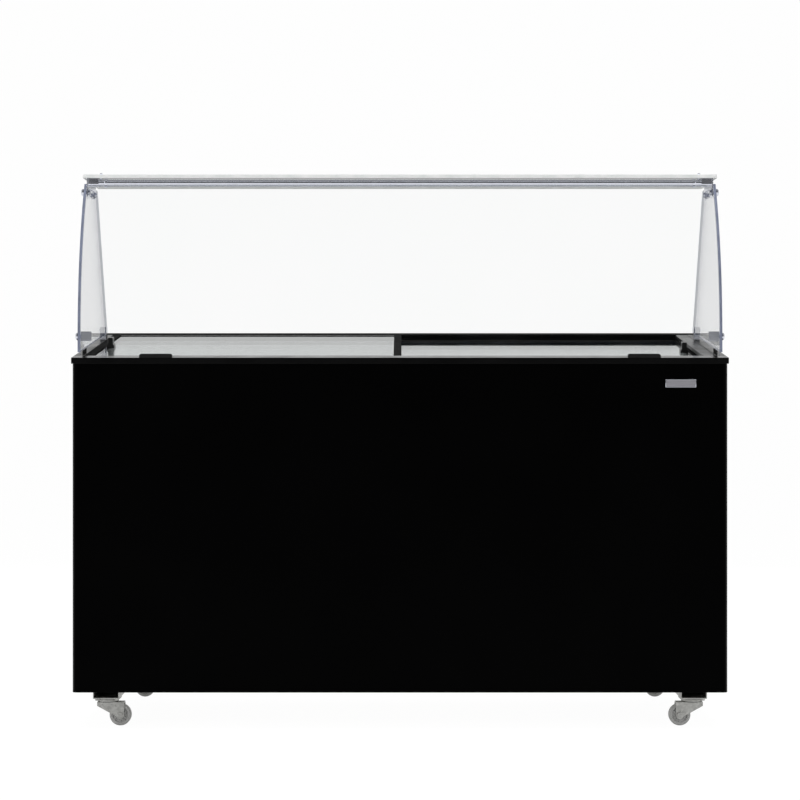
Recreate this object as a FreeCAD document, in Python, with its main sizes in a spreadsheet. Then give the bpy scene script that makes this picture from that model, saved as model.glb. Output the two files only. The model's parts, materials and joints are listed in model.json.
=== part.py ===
import FreeCAD, Part
import Sketcher
import math
import os

# Chest freezer with sliding glass lids, a sloping top and a curved glass guard, on four swivel
# casters. Millimetres, +Z up, floor at z = 0. The customer side faces -Y, the server side +Y,
# and +X is to the customer's right. Depths, here and in names ending in _s, are measured back
# from the front panel; the origin lies under the centre of the whole object.
# Names ending in _x, _y and _z are coordinates.

os.makedirs("parts", exist_ok=True)
Vector = FreeCAD.Vector
Rotation = FreeCAD.Rotation
doc = FreeCAD.newDocument("ChestFreezer")
sheet = doc.addObject("Spreadsheet::Sheet", "Params")
nodes = {}
sheet_rows = []


class Size:
    """A size that keeps both its number and the text that ties it to the sheet."""

    def __init__(self, text, value):
        self.text = text
        self.value = value

    @staticmethod
    def of(other):
        return other if isinstance(other, Size) else Size("%.6f" % other, float(other))

    def __add__(self, other):
        other = Size.of(other)
        return Size("(%s + %s)" % (self.text, other.text), self.value + other.value)

    def __radd__(self, other):
        return Size.of(other) + self

    def __sub__(self, other):
        other = Size.of(other)
        return Size("(%s - %s)" % (self.text, other.text), self.value - other.value)

    def __rsub__(self, other):
        return Size.of(other) - self

    def __mul__(self, other):
        other = Size.of(other)
        return Size("(%s * %s)" % (self.text, other.text), self.value * other.value)

    def __rmul__(self, other):
        return Size.of(other) * self

    def __truediv__(self, other):
        other = Size.of(other)
        return Size("(%s / %s)" % (self.text, other.text), self.value / other.value)

    def __neg__(self):
        return Size("(0 - %s)" % self.text, -self.value)


def num(value):
    return value.value if isinstance(value, Size) else float(value)


def param(alias, value):
    """Adds a driving dimension to the sheet."""
    sheet_rows.append(alias)
    cell = "A%d" % len(sheet_rows)
    sheet.set(cell, "%g" % value)
    sheet.setAlias(cell, alias)
    return Size("Params." + alias, float(value))


# ---------------------------------------------------------------- driving dimensions
# cabinet and rims
body_w = param("body_width", 1500)
body_d = param("body_depth", 650)
base_z = param("underside_height", 84)
front_z = param("front_rim_height", 850)
slope = param("top_slope_deg", 6.5)
mid_s = param("depth_midpoint", 333.15)
skin = param("skin_thickness", 0.8)
rim_over = param("rim_overhang", 2)
rim_lip = param("rim_lip_height", 14)
ledge = param("rim_ledge_depth", 46.7)
rim_wall = param("rim_wall_thickness", 3)
end_in = param("end_rim_inner_x", 729.5)
# tank and machine bay
tank_x = param("tank_half_length", 685)
tank_front_s = param("tank_front", 65)
tank_rear_s = param("tank_rear", 585)
tank_z = param("tank_floor_height", 154)
step_x = param("step_start_x", 400)
step_z = param("step_floor_height", 450)
liner_t = param("liner_thickness", 1.2)
bay_x = param("machine_bay_x", 462)
bay_s = param("machine_bay_front", 60)
bay_z = param("machine_bay_top", 395)
coil_r = param("coil_tube_radius", 4)
# lids
glass_t = param("lid_glass_thickness", 5)
lid_t = param("lid_frame_thickness", 9.7)
upper_drop = param("upper_lid_top_depth", 0)
lower_drop = param("lower_lid_top_depth", 11.5)
bar_w = param("lid_end_bar_width", 21.5)
mid_w = param("lid_middle_bar_width", 18.5)
mid_x = param("lid_middle_bar_right_x", 3.5)
rail_w = param("lid_edge_rail_width", 12)
pull_h = param("lid_pull_height", 25)
pull_s = param("lid_pull_depth_position", 277)
# glass guard
pane = param("guard_glass_thickness", 6)
side_x = param("side_glass_inner_x", 731.6)
arc_r = param("guard_arc_radius", 612)
arc_z = param("guard_arc_centre_z", 896)
guard_s = param("guard_front_s", 2)
side_top_z = param("side_glass_top_z", 1258)
side_back_s = param("side_glass_top_rear_s", 316)
side_foot_s = param("side_glass_foot_rear_s", 508)
side_lift = param("side_glass_lift", 12)
guard_top_z = param("front_glass_top_z", 1248)
guard_foot_z = param("front_glass_bottom_z", 852.6)
top_z = param("top_glass_underside_z", 1270.6)
top_t = param("top_glass_thickness", 8)
top_front_s = param("top_glass_front_s", 105)
top_rear_s = param("top_glass_rear_s", 395)
top_x = param("top_glass_half_length", 740)
tube_r = param("top_tube_radius", 8)
tube_s = param("top_tube_s", 121)
tube_z = param("top_tube_z", 1260)
tube_x = param("top_tube_half_length", 703.6)
plate_x = param("bracket_plate_x", 728)
# casters
wheel_r = param("wheel_radius", 25)
wheel_w = param("wheel_width", 20)
trail = param("caster_trail", 29)
cast_x = param("caster_axis_x", 676)
cast_front_s = param("caster_front_s", 72)
cast_rear_s = param("caster_rear_s", 605)
plate_z = param("caster_plate_underside_z", 63)
axle_r = param("axle_radius", 4)
run_fit = param("running_clearance", 0.05)
# fittings
fan_x = param("fan_centre_x", 605)
fan_z = param("fan_centre_z", 212)
comp_x = param("compressor_x", 612)
comp_s = param("compressor_s", 330)
panel_z = param("control_panel_bottom", 345)
drain_x = param("drain_x", -600)
drain_s = param("drain_s", 325)
drain_r = param("drain_bore_radius", 10)
spigot_r = param("drain_spigot_radius", 11.8)
doc.recompute()

slope_rad = math.radians(slope.value)
slope_tan = Size("tan(Params.top_slope_deg * 1 deg)", math.tan(slope_rad))
slope_cos = Size("cos(Params.top_slope_deg * 1 deg)", math.cos(slope_rad))


def y_at(depth):
    return Size.of(depth) - mid_s


def top_at(depth, below=0.0):
    """Height of the sloping top plane at a depth, set down square to the slope."""
    return front_z + Size.of(depth) * slope_tan - Size.of(below) / slope_cos


def at(depth, z):
    """A (y, z) point at a depth."""
    return (y_at(depth), z)


def roof(depth, below=0.0):
    """A (y, z) point on the sloping top, or below it."""
    return (y_at(depth), top_at(depth, below))


half_w = body_w / 2
rear_y = y_at(body_d)
comp_y = y_at(comp_s)
drain_y = y_at(drain_s)
tube_y = y_at(tube_s)
mid_depth = mid_s.value
FOUR_CORNERS = ((-1, -1), (-1, 1), (1, -1), (1, 1))
UPRIGHT = Rotation()
ALONG_X = Rotation(Vector(0, 1, 0), 90)
ALONG_Y = Rotation(Vector(1, 0, 0), -90)


# ---------------------------------------------------------------- building helpers
def bind(obj, prop, value):
    if isinstance(value, Size):
        obj.setExpression(prop, value.text)


def drive(obj, prop, value):
    setattr(obj, prop, num(value))
    bind(obj, prop, value)


def place(obj, x=0.0, y=0.0, z=0.0, rotation=UPRIGHT):
    obj.Placement = FreeCAD.Placement(Vector(num(x), num(y), num(z)), rotation)
    for axis, value in zip("xyz", (x, y, z)):
        bind(obj, "Placement.Base." + axis, value)
    return obj


def on_slope(obj):
    """Seats a piece drawn flat (x, along the slope, square to it) on the sloping top."""
    place(obj, 0, -mid_s, front_z, Rotation(Vector(1, 0, 0), slope.value))
    obj.setExpression("Placement.Rotation.Angle", slope.text)
    return obj


def box(name, x0, x1, y0, y1, z0, z1):
    obj = doc.addObject("Part::Box", name)
    for prop, start, end in (("Length", x0, x1), ("Width", y0, y1), ("Height", z0, z1)):
        drive(obj, prop, Size.of(end) - Size.of(start))
    return place(obj, x0, y0, z0)


def cyl(name, radius, height, x, y, z, rotation=UPRIGHT):
    obj = doc.addObject("Part::Cylinder", name)
    drive(obj, "Radius", radius)
    drive(obj, "Height", height)
    return place(obj, x, y, z, rotation)


def fuse(name, parts):
    if len(parts) == 1:
        return parts[0]
    obj = doc.addObject("Part::MultiFuse", name)
    obj.Shapes = parts
    obj.Refine = True
    return obj


def cut(name, base, tools):
    obj = doc.addObject("Part::Cut", name)
    obj.Base = base
    obj.Tool = fuse(name + "_tools", tools)
    return obj


def group(name, parts):
    obj = doc.addObject("Part::Compound", name)
    obj.Links = parts
    return obj


def pair(name, source):
    """The piece and its mirror image across the middle of the length."""
    other = doc.addObject("Part::Mirroring", name + "_other")
    other.Source = source
    other.Normal = Vector(1, 0, 0)
    other.Base = Vector(0, 0, 0)
    return group(name, [source, other])


def along(edge, axis):
    """True for a straight edge that runs along an axis (0, 1 or 2)."""
    if edge.Curve.TypeId != "Part::GeomLine":
        return False
    return abs(edge.Curve.Direction[axis]) > 0.999


def upright(edge):
    return along(edge, 2)


def mid_of(edge):
    return edge.valueAt((edge.FirstParameter + edge.LastParameter) / 2)


def part_fillet(name, source, pick, radius):
    doc.recompute()
    obj = doc.addObject("Part::Fillet", name)
    obj.Base = source
    edges = enumerate(source.Shape.Edges, 1)
    obj.Edges = [(i, num(radius), num(radius)) for i, edge in edges if pick(edge)]
    return obj


def round_front(name, source, radius):
    """Rounds the two upright edges at the front."""
    return part_fillet(name, source, lambda e: upright(e) and mid_of(e).y < 0, radius)


def new_body(name):
    return doc.addObject("PartDesign::Body", name)


def new_sketch(body, role, offset=0.0, name="Sketch"):
    sketch = body.newObject("Sketcher::SketchObject", name)
    plane = [f for f in body.Origin.OriginFeatures if f.Role == role][0]
    sketch.AttachmentSupport = [(plane, "")]
    sketch.MapMode = "FlatFace"
    sketch.AttachmentOffset = FreeCAD.Placement(Vector(0, 0, num(offset)), Rotation())
    bind(sketch, "AttachmentOffset.Base.z", offset)
    return sketch


def dimension(sketch, value, kind, *refs):
    index = sketch.addConstraint(Sketcher.Constraint(kind, *refs, num(value)))
    bind(sketch, "Constraints[%d]" % index, value)


def coord(sketch, geo, pos, x, y):
    dimension(sketch, x, "DistanceX", -1, 1, geo, pos)
    dimension(sketch, y, "DistanceY", -1, 1, geo, pos)


def line(sketch, start, end):
    ends = [Vector(num(x), num(y), 0) for x, y in (start, end)]
    sketch.addGeometry(Part.LineSegment(*ends), False)


def join(sketch, *refs):
    sketch.addConstraint(Sketcher.Constraint("Coincident", *refs))


def outline(sketch, points):
    first = sketch.GeometryCount
    count = len(points)
    for i in range(count):
        line(sketch, points[i], points[(i + 1) % count])
    for i in range(count):
        join(sketch, first + i, 2, first + (i + 1) % count, 1)
    for i in range(count):
        coord(sketch, first + i, 1, *points[i])


def circle(sketch, x, y, radius):
    shape = Part.Circle(Vector(num(x), num(y), 0), Vector(0, 0, 1), num(radius))
    geo = sketch.addGeometry(shape, False)
    coord(sketch, geo, 3, x, y)
    dimension(sketch, radius, "Radius", geo)


def pad(body, sketch, length, back=False, name="Pad"):
    feature = body.newObject("PartDesign::Pad", name)
    feature.Profile = sketch
    drive(feature, "Length", length)
    feature.Reversed = back
    return feature


def pocket(body, sketch, length, back=False, name="Pocket", mid=False):
    feature = body.newObject("PartDesign::Pocket", name)
    feature.Profile = sketch
    drive(feature, "Length", length)
    feature.Reversed = back
    if mid:
        feature.Midplane = True
    return feature


def fillet(body, pick, radius):
    """Rounds edges of the body's latest feature."""
    doc.recompute()
    base = body.Tip
    names = ["Edge%d" % i for i, edge in enumerate(base.Shape.Edges, 1) if pick(edge)]
    feature = body.newObject("PartDesign::Fillet", "Fillet")
    feature.Base = (base, names)
    drive(feature, "Radius", radius)
    body.Tip = feature


def prism(name, plane, points, start, end, holes=()):
    """A body padded from start to end along x (YZ_Plane), z (XY_Plane) or y (XZ_Plane).
    Each hole is (centre, radius) in the plane of the outline."""
    body = new_body(name)
    faces_back = plane == "XZ_Plane"
    sketch = new_sketch(body, plane, -start if faces_back else start)
    outline(sketch, points)
    for centre, radius in holes:
        circle(sketch, *centre, radius)
    body.Tip = pad(body, sketch, end - start, faces_back)
    return body


def spun(name, points):
    """A body turned about its own z axis from a profile of (radius, height) points."""
    body = new_body(name)
    sketch = new_sketch(body, "XZ_Plane")
    outline(sketch, points)
    feature = body.newObject("PartDesign::Revolution", "Revolution")
    feature.Profile = sketch
    feature.ReferenceAxis = (sketch, ["V_Axis"])
    feature.Angle = 360
    return body


def node(label, obj):
    """Names a finished piece for export."""
    obj.Label = label
    nodes[label] = obj


# ---------------------------------------------------------------- insulated cabinet
tall_z = 960            # height of blocks before the sloping top is cut
corner_r = 12           # outer wrap's front corners
inner_corner_r = 11.2
flange_drop = 24        # liner flange below the sloping top
flange_x = end_in + rim_wall - 0.1

wedge = prism("TopWedge", "YZ_Plane",
              [roof(-40, 3.2), roof(720, 3.2), at(720, 1100), at(-40, 1100)],
              -half_w - 60, half_w + 60)

# outer wrap: front and two ends
wrap_out = box("WrapOuter", -half_w, half_w, y_at(0), rear_y - skin, base_z, tall_z)
wrap_out = round_front("WrapOuterRounded", wrap_out, corner_r)
wrap_in = box("WrapInner", -half_w + skin, half_w - skin, y_at(skin), rear_y + 40,
              base_z - 10, tall_z + 10)
wrap_in = round_front("WrapInnerRounded", wrap_in, inner_corner_r)
node("outer_wrap", cut("OuterWrap", wrap_out, [wrap_in, wedge]))

# rear sheet with the machine bay opening and the cord hook
hook_x = 330
hook_z = 313
rear_sheet = box("RearSheet", -half_w, half_w, rear_y - skin, rear_y, base_z, tall_z)
rear_hole = box("RearOpening", bay_x + 6, half_w - 10, y_at(640), y_at(660), 96, bay_z - 4)
hook_shelf = box("CordHookShelf", hook_x - 8, hook_x + 8, rear_y, y_at(664), hook_z, hook_z + 2)
hook_lip = box("CordHookLip", hook_x - 8, hook_x + 8, y_at(662.4), y_at(664),
               hook_z, hook_z + 17)
rear_sheet = cut("RearSheetOpened", rear_sheet, [rear_hole, wedge])
node("rear_panel", fuse("RearPanel", [rear_sheet, hook_shelf, hook_lip]))

# base tray
tray_top_z = base_z + 1.2
tray = box("TraySheet", -half_w + skin, half_w - skin, y_at(skin), rear_y - skin,
           base_z, tray_top_z)
tray = round_front("TrayRounded", tray, inner_corner_r)
tray_hole = cyl("TrayDrainHole", 12.6, 20, drain_x, drain_y, 75)
node("base_tray", cut("BaseTray", tray, [tray_hole]))


# inner liner: deep tank with a raised step at the right
def tank_block(name, grow, floor_z, below, x0, x1):
    front = tank_front_s - grow
    rear = tank_rear_s + grow
    side = [at(front, floor_z), at(rear, floor_z), roof(rear, below), roof(front, below)]
    return prism(name, "YZ_Plane", side, x0, x1)


liner_deep = tank_block("LinerDeep", liner_t, tank_z - liner_t, flange_drop,
                        -tank_x - liner_t, step_x + liner_t)
liner_step = tank_block("LinerStep", liner_t, step_z - liner_t, flange_drop,
                        step_x, tank_x + liner_t)
tank_deep = tank_block("TankDeep", 0, tank_z, 10, -tank_x, step_x)
tank_step = tank_block("TankStep", 0, step_z, 10, step_x - 5, tank_x)
flange_under = flange_drop + liner_t
flange = prism("LinerFlange", "YZ_Plane",
               [roof(43.8, flange_under), roof(605.8, flange_under),
                roof(605.8, flange_drop), roof(43.8, flange_drop)], -flange_x, flange_x)
liner_hole = cyl("LinerDrainHole", drain_r, 20, drain_x, drain_y, tank_z - 10)
liner = fuse("LinerSolid", [liner_deep, liner_step, flange])
node("inner_liner", cut("InnerLiner", liner, [tank_deep, tank_step, liner_hole]))

# evaporator: one tube wound round the tank, both ends coming down into the machine bay
coil_levels = (480, 540, 600, 660, 720, 780)
coil_return_z = 800
coil_shift = 14         # second riser, inwards in x and back in y from the first
coil_x = tank_x.value + liner_t.value + coil_r.value + 0.1
coil_front_y = tank_front_s.value - liner_t.value - coil_r.value - 0.1 - mid_depth
coil_rear_y = tank_rear_s.value + liner_t.value + coil_r.value + 0.1 - mid_depth
return_x = coil_x - coil_shift
return_y = coil_rear_y + coil_shift
path = [Vector(coil_x, coil_rear_y, bay_z.value)]
for z in coil_levels:
    path += [Vector(coil_x, coil_rear_y, z), Vector(coil_x, coil_front_y, z),
             Vector(-coil_x, coil_front_y, z), Vector(-coil_x, coil_rear_y, z)]
path += [Vector(return_x, coil_rear_y, coil_return_z),
         Vector(return_x, return_y, coil_return_z),
         Vector(return_x, return_y, bay_z.value)]
ring = Part.Wire([Part.makeCircle(coil_r.value, path[0], Vector(0, 0, 1))])
coil = doc.addObject("Part::Feature", "EvaporatorCoil")
coil.Shape = Part.makePolygon(path).makePipeShell([ring], True, True, 1)
node("evaporator_coil", coil)

# foam filling what the liner, bay, drain and coil leave free
drain_flange_z = tank_z - liner_t - 4
drain_out_r = 12.5
drain_flange_r = 20
block = box("FoamBlock", -half_w + skin, half_w - skin, y_at(skin), rear_y - skin,
            tray_top_z, tall_z)
block = round_front("FoamRounded", block, inner_corner_r)
rebate = prism("LidRebate", "YZ_Plane",
               [roof(43.6, flange_under), roof(606.2, flange_under),
                roof(606.2, -80), roof(43.6, -80)], -flange_x - 0.2, flange_x + 0.2)
bay = box("MachineBay", bay_x, half_w, y_at(bay_s), rear_y, base_z, bay_z)
channel = cyl("DrainChannel", drain_out_r, 90, drain_x, drain_y, 70)
flange_seat = cyl("DrainFlangeSeat", drain_flange_r, 4, drain_x, drain_y, drain_flange_z)
node("insulation_foam", cut("Foam", block, [wedge, rebate, liner_deep, liner_step, bay,
                                            channel, flange_seat, coil]))

# drain pipe and its plug
drain_parts = [
    cyl("DrainTube", drain_out_r, tank_z - liner_t - 82, drain_x, drain_y, 82),
    cyl("DrainSpigot", spigot_r, 20, drain_x, drain_y, 62),
    cyl("DrainFlange", drain_flange_r, 4, drain_x, drain_y, drain_flange_z),
]
drain_bore = cyl("DrainBore", drain_r, 120, drain_x, drain_y, 55)
node("drain_outlet", cut("DrainPipe", fuse("DrainPipeSolid", drain_parts), [drain_bore]))
plug_r = drain_r - run_fit
plug = spun("DrainPlug", [
    (0, -14), (plug_r - 1, -14), (plug_r, -12), (plug_r, 0), (16, 0), (16, 3), (14, 4.5),
    (5, 5), (4, 9), (4, 14), (7, 16), (7, 20), (5, 22), (0, 22)])
node("drain_plug", place(plug, drain_x, drain_y, tank_z))

# ---------------------------------------------------------------- machine bay
# compressor on a foot plate, with two pipe stubs and a terminal cover
foot_dx = 75            # foot hole offsets from the compressor's axis
foot_dy = 40
stub_reach = 112        # suction stub's end, left of the axis
suction_z = 150
discharge_z = 140
feet = box("CompressorFeet", comp_x - 90, comp_x + 90, comp_y - 55, comp_y + 55, 103, 106)
feet = part_fillet("CompressorFeetRounded", feet, upright, 18)
foot_spots = [(comp_x + i * foot_dx, comp_y + j * foot_dy) for i, j in FOUR_CORNERS]
foot_holes = [cyl("FootHole%d" % i, 7, 20, x, y, 95) for i, (x, y) in enumerate(foot_spots)]
feet = cut("CompressorFeetDrilled", feet, foot_holes)
shell = spun("CompressorShell", [
    (0, 0), (50, 0), (66, 6), (74, 20), (75, 60), (78, 62), (78, 70), (75, 72), (74, 118),
    (66, 146), (44, 164), (0, 170)])
place(shell, comp_x, comp_y, 106)
stubs = [cyl("SuctionStub", 6, 40, comp_x - stub_reach, comp_y, suction_z, ALONG_X),
         cyl("DischargeStub", 4, 36, comp_x, comp_y + 72, discharge_z, ALONG_Y)]
welded = fuse("CompressorWelded", [feet, shell] + stubs)
cover = box("TerminalCover", comp_x - 30, comp_x + 30, comp_y - 118, comp_y - 78.2, 120, 190)
cover = part_fillet("TerminalCoverRounded", cover, upright, 8)
node("compressor", group("Compressor", [welded, cover]))

grommets = []
for i, (x, y) in enumerate(foot_spots):
    grommet = spun("Grommet%d" % i, [
        (0, 0), (12, 0), (12, 17.8), (6.9, 17.8), (6.9, 20.8), (11, 20.8), (11, 26), (0, 26)])
    grommets.append(place(grommet, x, y, tray_top_z))
node("compressor_grommets", group("Grommets", grommets))

# condenser: fins on serpentine tubes between two end plates
cond_half = 118
cond_s = 600
cond_z0 = 98
cond_z1 = 326
fin_count = 19
fin_pitch = 12
row_count = 7
row_pitch = 30
row_z = 118             # lowest tube
tube_stick = 3          # tube beyond each end plate
cond_x0 = fan_x - cond_half
cond_x1 = fan_x + cond_half
fins = []
for i in range(fin_count):
    x = fan_x + (i - (fin_count - 1) / 2) * fin_pitch
    fins.append(box("Fin%d" % i, x - 0.4, x + 0.4, y_at(580), y_at(620), 102, 322))
end_plates = [
    box("CondEndA", cond_x0, cond_x0 + 1.5, y_at(577), y_at(623), cond_z0, cond_z1),
    box("CondEndB", cond_x1 - 1.5, cond_x1, y_at(577), y_at(623), cond_z0, cond_z1),
]
tubes = [cyl("CondTube%d" % i, 4, cond_x1 - cond_x0 + 2 * tube_stick, cond_x0 - tube_stick,
             y_at(cond_s), row_z + i * row_pitch, ALONG_X) for i in range(row_count)]
bends = []
for i in range(row_count - 1):
    bend = doc.addObject("Part::Torus", "CondBend%d" % i)
    bend.Radius1 = row_pitch / 2
    bend.Radius2 = 4
    bend.Angle3 = 180
    at_right = i % 2 == 0
    spin = Rotation(Vector(0, 0, 1), -90 if at_right else 90)
    x = cond_x1 + tube_stick if at_right else cond_x0 - tube_stick
    place(bend, x, y_at(cond_s), row_z + (i + 0.5) * row_pitch,
          Rotation(Vector(1, 0, 0), 90).multiply(spin))
    bends.append(bend)
node("condenser", fuse("Condenser", end_plates + fins + tubes + bends))

# fan shroud: plate, ring, hood towards the condenser, foot on the tray
shroud_plate = box("ShroudPlate", cond_x0, cond_x1, y_at(562), y_at(564), cond_z0, cond_z1)
shroud_ring = cyl("ShroudRing", 98, 22, fan_x, y_at(542), fan_z, ALONG_Y)
shroud_bore = cyl("ShroudBore", 95, 60, fan_x, y_at(530), fan_z, ALONG_Y)
hood_out = box("ShroudHoodOut", cond_x0, cond_x1, y_at(564), y_at(576.8), cond_z0, cond_z1)
hood_in = box("ShroudHoodIn", cond_x0 + 1.5, cond_x1 - 1.5, y_at(563), y_at(580),
              cond_z0 + 1.5, cond_z1 - 1.5)
hood = cut("ShroudHood", hood_out, [hood_in])
shroud_foot = box("ShroudFoot", cond_x0, cond_x1, y_at(562), y_at(576.8), tray_top_z, cond_z0)
shroud = fuse("ShroudSolid", [shroud_plate, shroud_ring, hood, shroud_foot])
node("fan_shroud", cut("FanShroud", shroud, [shroud_bore]))

# fan motor on a bar with two legs to the shroud plate
arm = 106
bar_z0 = fan_z - 10
bar_z1 = fan_z + 10
node("fan_motor", fuse("FanMotor", [
    cyl("MotorCan", 32, 45, fan_x, y_at(488), fan_z, ALONG_Y),
    cyl("MotorShaft", 3, 24, fan_x, y_at(532), fan_z, ALONG_Y),
    box("MotorBar", fan_x - arm, fan_x + arm, y_at(486), y_at(488), bar_z0, bar_z1),
    box("MotorLegA", fan_x - arm, fan_x - arm + 2, y_at(486), y_at(562), bar_z0, bar_z1),
    box("MotorLegB", fan_x + arm - 2, fan_x + arm, y_at(486), y_at(562), bar_z0, bar_z1),
]))

# fan blade: five pitched vanes on a hub
vane_count = 5
vane_w = 34
vane_t = 1.6
vane_pitch_deg = 22
vane_root_r = 17
fan_centre = Vector(fan_x.value, 546 - mid_depth, fan_z.value)
hub = cyl("FanHub", 20, 16, fan_x, y_at(538), fan_z, ALONG_Y)
vanes = []
for i in range(vane_count):
    vane = doc.addObject("Part::Box", "Vane%d" % i)
    vane.Length = vane_w
    vane.Width = vane_t
    vane.Height = 72
    turn = Rotation(Vector(0, 1, 0), i * 360.0 / vane_count)
    tilt = turn.multiply(Rotation(Vector(0, 0, 1), vane_pitch_deg))
    corner = fan_centre + tilt.multVec(Vector(-vane_w / 2, -vane_t / 2, vane_root_r))
    vane.Placement = FreeCAD.Placement(corner, tilt)
    vanes.append(vane)
fan_bore = cyl("FanBore", 3 + run_fit, 60, fan_x, y_at(520), fan_z, ALONG_Y)
node("fan_blade", cut("FanBlade", fuse("FanSolid", [hub] + vanes), [fan_bore]))

# filter drier
drier_x = 490
drier_s = 430
drier_z = 190
drier_len = 130
drier = spun("FilterDrier", [
    (0, 0), (2.2, 0), (2.2, 14), (10, 26), (10, 104), (2.2, 116), (2.2, drier_len),
    (0, drier_len)])
node("filter_drier", place(drier, drier_x, y_at(drier_s), drier_z))


# refrigerant lines
def pipe(points, radius):
    """A bent rod through the points, with rounded joints."""
    points = [Vector(*p) for p in points]
    parts = [Part.makeCylinder(radius, (end - start).Length, start, end - start)
             for start, end in zip(points, points[1:])]
    parts += [Part.makeSphere(radius, p) for p in points[1:-1]]
    return parts[0].fuse(parts[1:]).removeSplitter()


pump_x = comp_x.value
pump_y = comp_s.value - mid_depth
suction_x = pump_x - 135
suction_top = 375
loop_y = pump_y + 118
loop_x = 738
loop_rear_y = 572 - mid_depth
cond_y = cond_s - mid_depth
tube_end = cond_half + tube_stick
top_row_z = row_z + (row_count - 1) * row_pitch
drier_y = drier_s - mid_depth
capillary_z = 385
suction = pipe([
    (pump_x - stub_reach, pump_y, suction_z), (suction_x, pump_y, suction_z),
    (suction_x, pump_y, suction_top), (coil_x, pump_y, suction_top),
    (coil_x, coil_rear_y, suction_top), (coil_x, coil_rear_y, bay_z.value)], 4)
discharge = pipe([
    (pump_x, pump_y + 108, discharge_z), (pump_x, loop_y, discharge_z),
    (loop_x, loop_y, discharge_z), (loop_x, loop_rear_y, discharge_z),
    (loop_x, loop_rear_y, top_row_z), (loop_x, cond_y, top_row_z),
    (fan_x.value + tube_end, cond_y, top_row_z)], 3)
liquid = pipe([
    (drier_x, drier_y, drier_z), (drier_x, drier_y, row_z), (474, drier_y, row_z),
    (474, cond_y, row_z), (fan_x.value - tube_end, cond_y, row_z)], 2.2)
capillary = pipe([
    (drier_x, drier_y, drier_z + drier_len), (drier_x, drier_y, capillary_z),
    (return_x, drier_y, capillary_z), (return_x, return_y, capillary_z),
    (return_x, return_y, bay_z.value)], 1.6)
lines = doc.addObject("Part::Feature", "RefrigerantLines")
lines.Shape = Part.makeCompound([suction, discharge, liquid, capillary])
node("refrigerant_lines", lines)

# ---------------------------------------------------------------- server-side fittings
# ventilation grille: two columns of slots
slot_z = 104
slot_h = 6
slot_w = 120
slot_pitch = 12
slot_rows = 19
fascia_x1 = half_w - 4


def rectangle(x0, x1, z0, z1):
    return [(x0, z0), (x1, z0), (x1, z1), (x0, z1)]


grille = prism("VentilationGrille", "XZ_Plane", rectangle(bay_x, fascia_x1, 88, panel_z - 2),
               rear_y, rear_y + 1.4)
slots = new_sketch(grille, "XZ_Plane", -rear_y, "Slots")
slot_x0 = bay_x + 14
slot_x1 = half_w - 18
outline(slots, rectangle(slot_x0, slot_x0 + slot_w, slot_z, slot_z + slot_h))
outline(slots, rectangle(slot_x1 - slot_w, slot_x1, slot_z, slot_z + slot_h))
slot_cut = pocket(grille, slots, 10, True, mid=True)
doc.recompute()
pattern = grille.newObject("PartDesign::LinearPattern", "SlotRows")
pattern.Originals = [slot_cut]
pattern.Direction = (slots, ["V_Axis"])
pattern.Length = (slot_rows - 1) * slot_pitch
pattern.Occurrences = slot_rows
grille.Tip = pattern
node("ventilation_grille", grille)

# control panel with holes for the knob, rocker, lamps and cord
control_z = 370
knob_x = 700
rocker_x = 640
lamp_xs = (590, 566)
cord_x = 490
hole_y = rear_y - 8
fascia = box("Fascia", bay_x, fascia_x1, rear_y, rear_y + 3, panel_z, bay_z)
fascia = part_fillet("FasciaRounded", fascia, lambda e: along(e, 1), 5)
panel_holes = [
    cyl("KnobHole", 3 + run_fit, 20, knob_x, hole_y, control_z, ALONG_Y),
    box("RockerHole", rocker_x - 7.5, rocker_x + 7.5, hole_y, rear_y + 10,
        control_z - 12, control_z + 12),
    cyl("LampHoleA", 4, 20, lamp_xs[0], hole_y, control_z, ALONG_Y),
    cyl("LampHoleB", 4, 20, lamp_xs[1], hole_y, control_z, ALONG_Y),
    cyl("CordHole", 5.5, 20, cord_x, hole_y, control_z, ALONG_Y),
]
rocker_frame = box("RockerFrame", rocker_x - 12, rocker_x + 12, rear_y - 6, rear_y + 3,
                   control_z - 12, control_z + 12)
seat = cyl("TrunnionSeat", 2 + run_fit, 22, rocker_x - 11, rear_y - 1, control_z, ALONG_X)
panel = fuse("PanelSolid", [fascia, rocker_frame])
node("control_panel", cut("ControlPanel", panel, panel_holes + [seat]))

# thermostat knob with a raised pointer
knob = spun("ThermostatKnob", [
    (0, -12), (3, -12), (3, 3.4), (17, 3.4), (17.5, 4), (17.5, 8), (15.5, 9), (14.5, 16),
    (13, 17.5), (0, 17.5)])
place(knob, knob_x, rear_y, control_z, ALONG_Y)
pointer = box("KnobPointer", knob_x - 1, knob_x + 1, rear_y + 17.2, rear_y + 18.3,
              control_z + 2, control_z + 12)
node("thermostat_knob", fuse("Knob", [knob, pointer]))

# rocker switch; profile as (y from the rear sheet, z from the control line)
ROCKER_PROFILE = [(-5, -9), (3.4, -10.5), (5, -10), (3, 0), (7.4, 9.4), (5.6, 10.4), (-5, 9)]
rocker = prism("RockerSwitch", "YZ_Plane",
               [(rear_y + y, control_z + z) for y, z in ROCKER_PROFILE],
               rocker_x - 7, rocker_x + 7)
trunnion = cyl("RockerTrunnion", 2, 21, rocker_x - 10.5, rear_y - 1, control_z, ALONG_X)
node("rocker_switch", fuse("Rocker", [rocker, trunnion]))

lamps = []
for i, x in enumerate(lamp_xs):
    lamp = spun("Lamp%d" % i, [
        (0, -8), (4, -8), (4, 3), (6, 3), (6, 4.2), (4.6, 6.2), (2.5, 7.4), (0, 7.8)])
    lamps.append(place(lamp, x, rear_y, control_z, ALONG_Y))
node("indicator_lamps", group("Lamps", lamps))

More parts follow.
